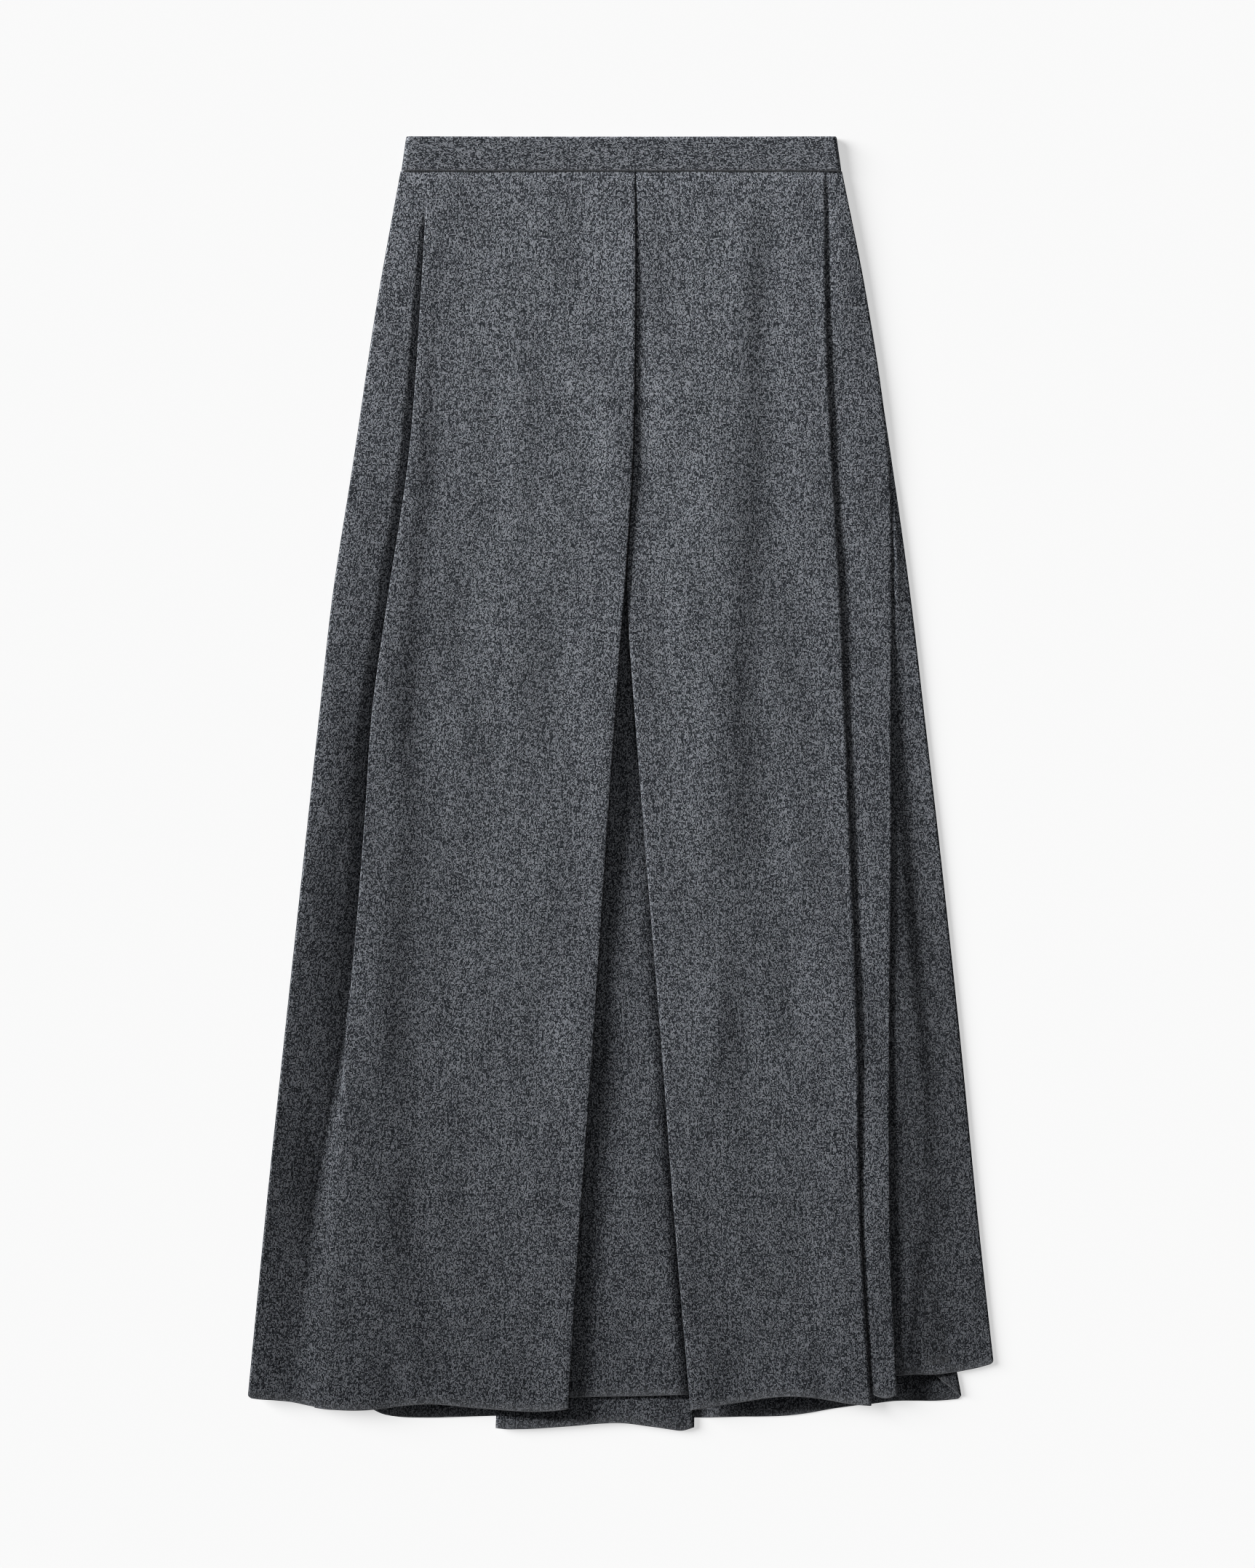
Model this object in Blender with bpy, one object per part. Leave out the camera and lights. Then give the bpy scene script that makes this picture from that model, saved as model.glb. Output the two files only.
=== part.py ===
"""A grey wool maxi skirt laid flat, front upwards and waist towards +Y, as its cut pieces.

Every piece is a wall of cloth. Its cross-section is a path that runs outwards from the centre
pleat, turns under at each fold and ends at the side seam; the sections follow one another down
the skirt. Six plies lie on each other where pleats meet: the back on the surface, then its
returns, its underlay and side parts, the front's underlay and side parts, its returns, its panels.
"""
import bmesh
import bpy
import numpy as np

MM = 0.001

# ---- driving sizes, in millimetres --------------------------------------------------------
PLY = 1.0                  # one wall of wool
BAND_PLY = 3.0             # the waistband: wool doubled over its interfacing
SEAM_GAP = 0.3             # between two pieces that are sewn together
WAIST_PITCH = 1.32         # from one ply to the next where the waistband presses the pleats
HEM_PITCH = 1.75           # the same at the hem, where the pleats spring open
WAIST_SEAM_Y = 487.5       # the waist seam, up from the middle of the laid skirt
BAND_DEPTH = 28.2
BAND_TAPER = 4.0           # how much shorter the waistband's top edge is at each end
BAND_ROWS = (0.0, 0.93, 1.0)                        # shares of its depth
BAND_STRAIGHT_END = 0.4    # the upright stretch where its two halves meet
SIDE_ROLL = 2.0            # how far from the side edge the cloth starts to roll down
LEAST_HEIGHT = 0.6         # the middle of a wall whose edge lies on the surface
PANEL_SAG = 2.6            # how far a front panel sinks between two pleats
RIDGE_LIFT = 2.0           # how far the left ridge swells once its pleat has opened
SIDE_LIFT_AT_BAND = 1.9    # how far the waistband lifts the left side part at its seam
BAND_HOLD = 45.0           # how far below its seam the waistband still holds the cloth down
BAND_CLEARANCE = 0.4       # the front band's top face above the pleats' own
FACET_CORNER = 50.0        # degrees between faces from which an edge is shaded sharp

# ---- where stretches of a front begin and end ----------------------------------------------
PANEL_START = 4.0          # a panel's first mark, outwards of the underlay's edge
RIDGE_FOOT = 6.0           # a panel's last mark, inwards of the side pleat's overlap
RIDGE_FOOT_OPEN = 22.0     # and so much further in once the left pleat has opened
PANEL_SAG_SHARES = ((0, 0), (0.25, 0.8), (0.5, 1.0), (0.75, 0.8), (1, 0))   # across it, of the sag
SIDE_PART_START = 3.0      # the left side part's first mark, outwards of the fold
OPEN_ROLL_RADII = 4.0      # and so many roll radii further out once the pleat has opened
SIDE_PART_MARKS = (0.05, 0.5)              # shares of the way to the side edge's roll
STRIP_HIDDEN = 3.0         # the right strip's first mark, inwards of the fold it comes out from
STRIP_FOOT = 0.9           # where it starts to climb, outwards of that fold
STRIP_CREST = 3.6          # where it has nearly climbed to the panel's ply
STRIP_CREST_SHORT = 0.4    # what it still lacks there
STRIP_OVERLAP_CLEAR = 6.0  # how far from the fold the strip's own hidden overlap ends

# ---- how much shorter a hidden ply is cut at its hem, from its fold inwards -----------------
RETURN_SHORT = (8.0, 4.0, 1.0)
STRIP_SHORT = (6.0, 2.0, 3.0)
BACK_RETURN_SHORT = 2.0

# ---- the back's side parts -------------------------------------------------------------------
BACK_SIDE_START = 4.0      # inwards of the return's end
BACK_SIDE_INSIDE = 1.0     # how far its edge stays inside the front's
BACK_SIDE_FALL = 0.8       # of its ply's height, at a share of 0.6 of its way out
BACK_SIDE_FALL_AT = 0.6
BACK_PANEL_MARKS = (0, 0.2, 0.35, 0.5, 0.62, 0.74, 0.87, 1)
UNDERLAY_MARKS = (0, 0.05, 0.2, 0.4, 0.6, 0.75, 0.88, 0.96, 1)

# the inverted pleat at the centre front: closed at the waist, then spreading evenly
PLEAT_CLOSED_GAP = 0.4
PLEAT_OPENS_AT = 330.0     # below the waist seam
PLEAT_OPENING_ROUND = 12.0
PLEAT_SPREAD = 0.147       # opening for each millimetre further down
FRONT_UNDERLAY = (-69.0, 103.0)                     # its two edges, parallel down the skirt
BACK_UNDERLAY_WAIST = (-55.0, 75.0)
BACK_UNDERLAY_HEM = (-99.8, 58.6)
BACK_PLEAT_WAIST = (9.0, 11.0)                      # the back pleat's two fold edges
BACK_PLEAT_HEM = (-45.0, 5.0)

# fold lines across the skirt (x), a row for each distance below the waist seam
LINE_NAMES = ("down", "side_left", "fold_left", "centre", "fold_right", "strip_edge", "side_right",
              "back_fold_left", "back_fold_right")
LINE_ROWS = np.array([
    #down  side_l  fold_l  centre fold_r strip  side_r  back_l  back_r
    (0,    -175.2, -153.7, 12.0,  164.1, 176.4, 175.5, -158.0, 158.0),
    (100,  -193.4, -162.6, 12.2,  165.0, 196.1, 195.0, -171.0, 171.0),
    (230,  -212.9, -173.5, 10.1,  169.7, 214.0, 215.8, -187.0, 187.0),
    (345,  -230.1, -191.4, 3.8,   176.3, 216.6, 231.7, -201.0, 202.0),
    (430,  -239.4, -202.4, 3.6,   179.8, 215.8, 241.3, -211.0, 211.0),
    (520,  -249.1, -207.4, 3.9,   182.7, 214.5, 251.7, -220.0, 220.0),
    (680,  -266.3, -219.8, 5.2,   189.7, 214.0, 268.6, -236.0, 235.0),
    (840,  -283.3, -238.0, 5.4,   192.6, 214.9, 284.5, -251.0, 249.0),
    (1005, -299.5, -260.0, 7.2,   202.0, 221.5, 303.0, -266.0, 276.0),
])

# how the side pleats lie, a row for each distance below the waist seam: the left one's hidden
# overlap, its turn in degrees (180 is folded flat, less is an open roll) and its roll's radius,
# the right one's overlap, and the overlap of the back's two
PLEAT_NAMES = ("down", "left_overlap", "left_turn", "left_radius", "right_overlap", "back_overlap")
PLEAT_ROWS = np.array([
    (0,    34.0, 180.0, 0.66, 30.0, 34.0),
    (345,  24.0, 180.0, 0.75, 32.0, 32.0),
    (520,  14.0, 180.0, 0.80, 32.0, 30.0),
    (640,  1.0,  175.0, 0.85, 32.0, 28.0),
    (720,  0.0,  60.0,  1.60, 32.0, 27.0),
    (800,  0.0,  24.0,  3.60, 32.0, 26.0),
    (1005, 0.0,  18.0,  5.00, 34.0, 25.0),
])

# hem lines, each a row of (across, depth below the waist seam)
HEMS = {
    "front_left": ((-297, 973.5), (-289, 976.7), (-263, 979.6), (-234, 984.8), (-210, 986.0),
                   (-180, 983.5), (-152, 981.4), (-123, 983.7), (-68, 987.2), (-41, 984.8)),
    "front_right": ((56, 986.0), (97, 979.6), (136, 975.0), (161, 977.3), (181, 980.8), (200, 982.0)),
    "front_strip": ((200, 972.7), (210, 976.1), (220, 973.8)),
    "front_side_right": ((220, 958.7), (252, 958.5), (266, 957.0), (288, 953.0), (297, 947.7)),
    "front_underlay": ((-69, 976.5), (-41, 976.1), (53, 974.4), (103, 973.5)),
    "back_left": ((-266, 968.0), (-216, 980.2), (-196, 986.0), (-179, 991.2), (-152, 993.0),
                  (-100, 991.8), (-45, 992.0)),
    "back_side_left": ((-297, 969.0), (-240, 968.0)),
    "back_right": ((5, 992.5), (77, 993.0), (111, 992.4), (146, 990.0), (181, 984.3),
                   (224, 979.6), (259, 978.5), (272, 974.4)),
    "back_side_right": ((245, 952.0), (297, 944.0)),
    "back_underlay": ((-100, 1000.5), (-93, 1001.7), (-71, 1001.7), (-36, 999.3), (-2, 997.0),
                      (16, 998.8), (33, 1001.0), (50, 1003.4), (59, 1001.5)),
}

# sections of the skirt, by distance below the waist seam; the last is each column's own hem
STATIONS = np.array([0, 45, 120, 230, 345, 430, 520, 610, 680, 740, 810, 890, 990], float)
# hem lines are read where a column stands at these distances
AT_HEM = np.array([980.0])
AT_SIDE_HEM = np.array([965.0])
AT_UNDERLAY_HEM = np.array([990.0])
FOLDED_FLAT = 180.0        # the turn of a pleat's fold, in degrees
WOOL_COLOURS = {"band": (0.087, 0.094, 0.108), "front": (0.084, 0.090, 0.103),
                "inner": (0.062, 0.068, 0.076), "back": (0.052, 0.056, 0.066)}


# ---- lines and levels ----------------------------------------------------------------------

def through(at, places, values):
    """A smooth curve through values at places: cubics whose slopes are those of the neighbours."""
    slopes = np.gradient(values, places)
    index = np.clip(np.searchsorted(places, at, side="right") - 1, 0, len(places) - 2)
    span = places[index + 1] - places[index]
    t = (at - places[index]) / span
    start = values[index] * (1 + 2 * t) * (1 - t) ** 2 + slopes[index] * span * t * (1 - t) ** 2
    end = values[index + 1] * t ** 2 * (3 - 2 * t) + slopes[index + 1] * span * t ** 2 * (t - 1)
    return start + end


def line(name, down):
    """Where a fold line or side edge lies across the skirt, at a distance below the waist seam."""
    return through(down, LINE_ROWS[:, 0], LINE_ROWS[:, LINE_NAMES.index(name)])


def pleat(name, down):
    """A size of the side pleats at a distance below the waist seam."""
    return np.interp(down, PLEAT_ROWS[:, 0], PLEAT_ROWS[:, PLEAT_NAMES.index(name)])


def centre_edge(side, down):
    """A fold edge of the centre front pleat: side is -1 for the left one and 1 for the right."""
    past = down - PLEAT_OPENS_AT
    spread = 0.5 * (past + np.sqrt(past ** 2 + PLEAT_OPENING_ROUND ** 2))
    return line("centre", down) + side * 0.5 * (PLEAT_CLOSED_GAP + PLEAT_SPREAD * spread)


def between(waist, hem, down):
    """A straight line from its place at the waist to its place at the hem."""
    return waist + (hem - waist) * down / LINE_ROWS[-1, 0]


def pitch(down):
    return WAIST_PITCH + (HEM_PITCH - WAIST_PITCH) * down / LINE_ROWS[-1, 0]


def level(ply, down):
    """The height of the middle of a ply, counted from 0 on the surface that the skirt lies on."""
    return PLY / 2 + ply * pitch(down)


def held_by_band(down):
    """1 at the waist seam, fading out over the first hand's breadth."""
    return np.exp(-(down / BAND_HOLD) ** 2)


def hem_at(name, across):
    places, depths = np.array(HEMS[name], float).T
    return float(np.interp(across, places, depths))


# ---- stretches of a section path -------------------------------------------------------------
# each gives (across, height, down) for its columns: an array of 3 by stations by columns

def level_turn(down):
    """A fold pressed flat, all the way down."""
    return np.full_like(down, FOLDED_FLAT)


def down_to(hem):
    """The stations of one column, the last of which is its own hem."""
    down = STATIONS.copy()
    down[-1] = hem
    return down


def run(marks):
    """A stretch through marks, each of which is (across, height, hem), functions of the way down."""
    columns = []
    for across, height, hem in marks:
        down = down_to(hem)
        columns.append((across(down), height(down), down))
    return np.array(columns).transpose(1, 2, 0)


def turn_back(centre, low, high, outward, hem):
    """A half circle at a fold edge, from the ply at low to the ply at high."""
    down = down_to(hem)
    radius = (high(down) - low(down)) / 2
    columns = []
    for angle in np.radians((45, 90, 135)):
        columns.append((centre(down) - outward * abs(radius) * np.sin(angle),
                        low(down) + radius * (1 - np.cos(angle)), down))
    return np.array(columns).transpose(1, 2, 0)


def fold_under(across, height, outward, upward, radius, turn, overlap, drop, hem):
    """A pleat's fold: an arc through turn degrees, a flank, and an arc back to the first heading.

    The flank is the overlap, and as much more as the two arcs leave of the drop.
    """
    down = down_to(hem)
    r, angle = radius(down), np.radians(turn(down))
    left_over = np.maximum(drop(down) - 2 * r * (1 - np.cos(angle)), 0)
    flank = overlap(down) + np.where(angle < 3.1, left_over / np.maximum(np.sin(angle), 0.02), 0)
    flank = np.maximum(flank, 0.8)
    x, z = across(down), height(down) - upward * r
    columns = []
    for share in (0.25, 0.5, 0.75, 1.0):
        a = share * angle
        columns.append((x + outward * r * np.sin(a), z + upward * r * np.cos(a), down))
    x = x + outward * (2 * r * np.sin(angle) + flank * np.cos(angle))
    z = z + upward * (2 * r * np.cos(angle) - flank * np.sin(angle))
    for share in (1.0, 0.75, 0.5, 0.25, 0.0):
        a = share * angle
        columns.append((x - outward * r * np.sin(a), z - upward * r * np.cos(a), down))
    return np.array(columns).transpose(1, 2, 0)


def roll_down(side, height, outward, hem):
    """The side edge: a quarter turn from the cloth's height down to the surface."""
    down = down_to(hem)
    fall = height(down) - PLY
    columns = []
    for angle in np.radians((0, 35, 65, 90)):
        columns.append((side(down) - outward * (PLY / 2 + SIDE_ROLL * (1 - np.sin(angle))),
                        height(down) - fall * (1 - np.cos(angle)), down))
    return np.array(columns).transpose(1, 2, 0)


# ---- solids ---------------------------------------------------------------------------------

def wool(name, colour):
    material = bpy.data.materials.new(name)
    material.use_nodes = True
    shader = material.node_tree.nodes["Principled BSDF"]
    shader.inputs["Base Color"].default_value = (*colour, 1.0)
    shader.inputs["Roughness"].default_value = 0.92
    shader.inputs["Metallic"].default_value = 0.0
    return material


def half_wall(x, z, thickness):
    """How far to move a section's points to reach one face of the wall, mitred at its corners."""
    step_x, step_z = np.diff(x, axis=1), np.diff(z, axis=1)
    length = np.hypot(step_x, step_z)
    normal_x, normal_z = -step_z / length, step_x / length
    before_x, before_z = (np.insert(n, 0, n[:, 0], 1) for n in (normal_x, normal_z))
    after_x, after_z = (np.append(n, n[:, -1:], 1) for n in (normal_x, normal_z))
    mitre = thickness / 2 / (1 + before_x * after_x + before_z * after_z)
    return (before_x + after_x) * mitre, (before_z + after_z) * mitre


def cloth_wall(name, x, y, z, thickness, colour):
    """A closed wall about a grid of points: its two faces and the rim round them."""
    rows, columns = x.shape
    move_x, move_z = half_wall(x, z, thickness)
    faces_points = [np.stack((x + s * move_x, y, z + s * move_z), 2).reshape(-1, 3) for s in (1, -1)]
    index = np.arange(rows * columns).reshape(rows, columns)
    other = index + rows * columns
    quads = np.stack((index[:-1, :-1], index[:-1, 1:], index[1:, 1:], index[1:, :-1]), 2).reshape(-1, 4)
    faces = [quads, quads[:, ::-1] + rows * columns]
    for rim, rim_other in ((index[0], other[0]), (index[-1], other[-1]),
                           (index[:, 0], other[:, 0]), (index[:, -1], other[:, -1])):
        faces.append(np.stack((rim[:-1], rim[1:], rim_other[1:], rim_other[:-1]), 1))
    mesh = bpy.data.meshes.new(name)
    mesh.from_pydata((np.concatenate(faces_points) * MM).tolist(), [], np.concatenate(faces).tolist())
    shell = bmesh.new()
    shell.from_mesh(mesh)
    bmesh.ops.recalc_face_normals(shell, faces=shell.faces)
    shell.to_mesh(mesh)
    shell.free()
    mesh.materials.append(wool(name + "_wool", colour))
    mesh.shade_smooth()
    mesh.set_sharp_from_angle(angle=np.radians(FACET_CORNER))
    piece = bpy.data.objects.new(name, mesh)
    bpy.context.scene.collection.objects.link(piece)
    return piece


def cut_piece(name, stretches, colour):
    across, height, down = np.concatenate(stretches, axis=2)
    return cloth_wall(name, across, WAIST_SEAM_Y - SEAM_GAP - down, height, PLY, colour)


# ---- fronts ---------------------------------------------------------------------------------

def front_piece(name, outward):
    """A front from its hidden return at the centre pleat to its side seam; outward -1 is the left."""
    left = outward < 0
    underlay = FRONT_UNDERLAY[0] if left else FRONT_UNDERLAY[1]
    fold = "fold_left" if left else "fold_right"
    overlap = "left_overlap" if left else "right_overlap"
    panel_hem = "front_left" if left else "front_right"
    ply3, ply4, ply5 = (lambda down, k=k: level(k, down) for k in (3, 4, 5))

    def radius(down):
        return pleat("left_radius", down) if left else pitch(down) / 2

    def turn(down):
        return pleat("left_turn", down) if left else level_turn(down)

    def opened(down):
        """0 where the pleat is folded flat, 1 where it is as open as it is at the hem."""
        most_open = PLEAT_ROWS[-1, PLEAT_NAMES.index("left_turn")]
        return (FOLDED_FLAT - turn(down)) / (FOLDED_FLAT - most_open)

    def centre_start(down):
        return centre_edge(outward, down) + outward * (PLY + pitch(down)) / 2

    def crest_height(down):
        return ply5(down) + RIDGE_LIFT * opened(down)

    def crest(down):
        return line(fold, down) - outward * (PLY / 2 + radius(down))

    def ridge_foot(down):
        foot = pleat(overlap, down) + RIDGE_FOOT + RIDGE_FOOT_OPEN * opened(down)
        return line(fold, down) - outward * foot

    def over_panel(share):
        start = underlay + outward * PANEL_START
        return lambda down: start + share * (ridge_foot(down) - start)

    def sagging(share):
        return lambda down: ply5(down) - share * PANEL_SAG * (1 - held_by_band(down))

    def hem(across):
        return hem_at(panel_hem, across)

    fold_hem = hem(line(fold, AT_HEM)[0])
    edge_hem = hem(centre_edge(outward, AT_HEM)[0])
    panel_marks = [(over_panel(share), sagging(sag), hem(over_panel(share)(AT_HEM)[0]))
                   for share, sag in PANEL_SAG_SHARES]
    stretches = [
        run([(lambda down: np.full_like(down, underlay), ply4, panel_marks[0][2] - RETURN_SHORT[0]),
             (lambda down: (underlay + centre_start(down)) / 2, ply4, edge_hem - RETURN_SHORT[1]),
             (centre_start, ply4, edge_hem - RETURN_SHORT[2])]),
        turn_back(centre_start, ply4, ply5, outward, edge_hem),
        run([(centre_start, ply5, edge_hem), *panel_marks, (crest, crest_height, fold_hem)]),
        fold_under(crest, crest_height, outward, 1, radius, turn,
                   lambda down: pleat(overlap, down),
                   lambda down: crest_height(down) - ply3(down), fold_hem),
    ]
    side_height = ply3
    if left:
        side, side_hem = "side_left", "front_left"
    else:
        side, side_hem = "side_right", "front_side_right"
        strip_hem = hem_at("front_strip", 210)

        def strip_nose(down):
            return line("strip_edge", down) - (PLY + pitch(down)) / 2

        def strip_overlap(down):
            return strip_nose(down) - line(fold, down) - STRIP_OVERLAP_CLEAR

        def strip_crest(down):
            return line(fold, down) + STRIP_CREST

        stretches += [
            run([(lambda down: line(fold, down) - STRIP_HIDDEN, ply3, fold_hem - STRIP_SHORT[0]),
                 (lambda down: line(fold, down) + STRIP_FOOT, ply3, hem_at("front_strip", 200)),
                 (strip_crest, lambda down: ply5(down) - STRIP_CREST_SHORT, strip_hem - STRIP_SHORT[1]),
                 (lambda down: (strip_crest(down) + strip_nose(down)) / 2, ply5, strip_hem),
                 (strip_nose, ply5, hem_at("front_strip", 219))]),
            fold_under(strip_nose, ply5, outward, 1, lambda down: pitch(down) / 2, turn, strip_overlap,
                       lambda down: 2 * pitch(down), hem_at("front_strip", 220) - STRIP_SHORT[2]),
        ]

        def inner(down):
            return strip_nose(down) - strip_overlap(down)

    def side_line(down):
        return line(side, down)

    def side_share(share):
        def across(down):
            clear_of_roll = OPEN_ROLL_RADII * radius(down) * opened(down)
            outside = line(fold, down) + outward * (SIDE_PART_START + clear_of_roll)
            start = outside if left else inner(down) + PLY
            end = side_line(down) - outward * (PLY / 2 + SIDE_ROLL)
            return start + share * (end - start)
        return across

    def side_raised(down):
        return side_height(down) + (SIDE_LIFT_AT_BAND if left else 0.0) * held_by_band(down)

    first, middle = ((side_share(share), hem_at(side_hem, side_share(share)(AT_SIDE_HEM)[0]))
                     for share in SIDE_PART_MARKS)
    edge_place = side_line(AT_HEM)[0] - outward * SIDE_ROLL
    stretches += [
        run([(first[0], side_height, first[1]), (middle[0], side_raised, middle[1])]),
        roll_down(side_line, side_raised, outward, hem_at(side_hem, edge_place)),
    ]
    return cut_piece(name, stretches, WOOL_COLOURS["front"])


# ---- backs ----------------------------------------------------------------------------------

def back_piece(name, outward):
    """A back: its panel on the surface, its pleat returns and its side part above it."""
    which = 0 if outward < 0 else 1
    word = "left" if outward < 0 else "right"
    ply0, ply1, ply2 = (lambda down, k=k: level(k, down) for k in (0, 1, 2))

    def underlay(down):
        return between(BACK_UNDERLAY_WAIST[which], BACK_UNDERLAY_HEM[which], down)

    def centre_start(down):
        edge = between(BACK_PLEAT_WAIST[which], BACK_PLEAT_HEM[which], down)
        return edge + outward * (PLY + pitch(down)) / 2

    def fold_start(down):
        return line("back_fold_" + word, down) - outward * (PLY + pitch(down)) / 2

    def overlap(down):
        return pleat("back_overlap", down)

    def part_way(share):
        return lambda down: centre_start(down) + share * (fold_start(down) - centre_start(down))

    def side_end(down):
        return line("side_" + word, down) - outward * (PLY + BACK_SIDE_INSIDE)

    def side_start(down):
        return fold_start(down) - outward * (overlap(down) - BACK_SIDE_START)

    def side_fall(share):
        return lambda down: side_start(down) + share * (side_end(down) - side_start(down))

    def side_hem(across):
        return hem_at("back_side_" + word, across(AT_HEM)[0])

    falling = side_fall(BACK_SIDE_FALL_AT)
    edge_hem = hem_at("back_" + word, centre_start(AT_HEM)[0])
    fold_hem = hem_at("back_" + word, fold_start(AT_HEM)[0])
    stretches = [
        run([(underlay, ply1, hem_at("back_underlay", underlay(AT_HEM)[0]) - BACK_RETURN_SHORT),
             (centre_start, ply1, edge_hem)]),
        turn_back(centre_start, ply1, ply0, outward, edge_hem),
        run([(part_way(share), ply0, hem_at("back_" + word, part_way(share)(AT_HEM)[0]))
             for share in BACK_PANEL_MARKS]),
        fold_under(fold_start, ply0, outward, -1, lambda down: pitch(down) / 2, level_turn, overlap,
                   lambda down: 2 * pitch(down), fold_hem),
        run([(side_start, ply2, side_hem(side_start)),
             (falling, lambda down: BACK_SIDE_FALL * ply2(down), side_hem(falling)),
             (side_end, lambda down: np.full_like(down, LEAST_HEIGHT), side_hem(side_end))]),
    ]
    return cut_piece(name, stretches, WOOL_COLOURS["back"])


# ---- pleat underlays --------------------------------------------------------------------------

def underlay_piece(name, left_edge, right_edge, ply, hem_name, colour):
    """The inner layer of an inverted pleat: a flat strip between the ends of the two returns."""
    def strip(share):
        return lambda down: left_edge(down) + share * (right_edge(down) - left_edge(down))

    marks = [(strip(share), lambda down: level(ply, down),
              hem_at(hem_name, strip(share)(AT_UNDERLAY_HEM)[0])) for share in UNDERLAY_MARKS]
    return cut_piece(name, [run(marks)], colour)


# ---- waistband --------------------------------------------------------------------------------

def waistband_half(name, middle, end_height):
    """Half of the waistband: flat, with both ends rolled towards the other half at the side seams."""
    roll = BAND_PLY / 2 + SIDE_ROLL
    angles = np.radians((0, 0, 30, 60, 90))
    start_height = end_height + np.sign(middle - end_height) * BAND_STRAIGHT_END
    x, y, z = [], [], []
    for share in BAND_ROWS:
        left = line("side_left", 0.0) + BAND_TAPER * share + roll
        right = line("strip_edge", 0.0) - BAND_TAPER * share - roll
        flat = np.linspace(left, right, 6)[1:-1]
        ends = SIDE_ROLL * np.cos(angles)
        heights = start_height + (middle - start_height) * np.sin(angles)
        heights[0] = end_height
        x.append(np.concatenate((left - ends, flat, (right + ends)[::-1])))
        z.append(np.concatenate((heights, np.full(len(flat), middle), heights[::-1])))
        y.append(np.full(len(x[-1]), WAIST_SEAM_Y + share * BAND_DEPTH))
    return cloth_wall(name, np.array(x), np.array(y), np.array(z), BAND_PLY, WOOL_COLOURS["band"])


def main():
    for old in list(bpy.data.objects):
        bpy.data.objects.remove(old, do_unlink=True)
    waist_top = level(5, 0.0) + PLY / 2
    seam_height = (waist_top + SEAM_GAP) / 2
    waistband_half("waistband_front", waist_top + BAND_CLEARANCE - BAND_PLY / 2, seam_height + SEAM_GAP / 2)
    waistband_half("waistband_back", BAND_PLY / 2, seam_height - SEAM_GAP / 2)
    front_piece("front_left", -1)
    front_piece("front_right", 1)
    underlay_piece("front_pleat_underlay", lambda down: np.full_like(down, FRONT_UNDERLAY[0]),
                   lambda down: np.full_like(down, FRONT_UNDERLAY[1]), 3, "front_underlay",
                   WOOL_COLOURS["inner"])
    back_piece("back_left", -1)
    back_piece("back_right", 1)
    underlay_piece("back_pleat_underlay",
                   lambda down: between(BACK_UNDERLAY_WAIST[0], BACK_UNDERLAY_HEM[0], down),
                   lambda down: between(BACK_UNDERLAY_WAIST[1], BACK_UNDERLAY_HEM[1], down), 2,
                   "back_underlay", WOOL_COLOURS["inner"])


main()
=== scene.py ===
# A grey wool maxi skirt laid flat on a pale surface: its cloth, the light and the camera.
from functools import partial
import bpy
import numpy as np
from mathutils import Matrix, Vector


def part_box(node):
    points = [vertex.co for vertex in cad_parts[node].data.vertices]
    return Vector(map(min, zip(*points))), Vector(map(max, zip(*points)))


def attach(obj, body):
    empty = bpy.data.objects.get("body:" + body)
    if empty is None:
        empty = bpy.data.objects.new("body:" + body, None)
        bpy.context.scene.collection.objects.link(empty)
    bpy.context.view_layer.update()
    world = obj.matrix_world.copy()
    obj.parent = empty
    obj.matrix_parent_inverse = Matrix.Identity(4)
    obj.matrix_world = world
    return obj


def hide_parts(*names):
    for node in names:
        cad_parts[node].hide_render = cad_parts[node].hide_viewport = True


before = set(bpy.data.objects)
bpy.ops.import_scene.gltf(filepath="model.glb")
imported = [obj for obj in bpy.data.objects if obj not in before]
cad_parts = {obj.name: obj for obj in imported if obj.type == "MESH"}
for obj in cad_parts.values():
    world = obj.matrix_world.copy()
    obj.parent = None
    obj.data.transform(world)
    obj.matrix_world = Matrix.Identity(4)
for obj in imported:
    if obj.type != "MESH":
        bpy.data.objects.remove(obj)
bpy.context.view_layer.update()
print("frame loaded:", ", ".join(sorted(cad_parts)))

mm = 0.001
lay = {
    "ply": 1.0,             # one wall of wool, in millimetres like every size below
    "pitchWaist": 1.32,     # from ply to ply where the waistband presses the pleats
    "pitchHem": 1.75,       # and at the hem, where they spring open
    "bandHold": 45.0,       # how far below its seam the waistband holds the cloth level
    "reach": 1005.0,        # the longest piece, below the waist seam
    "tuck": 0.7,            # how far the pieces run under the waistband's edge
    "rim": 0.1,             # half of a wall where it is rounded off at its edge
    "foldSpacing": 0.45,    # between columns of points round a fold edge
}
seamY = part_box("front_left")[1].y / mm

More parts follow.
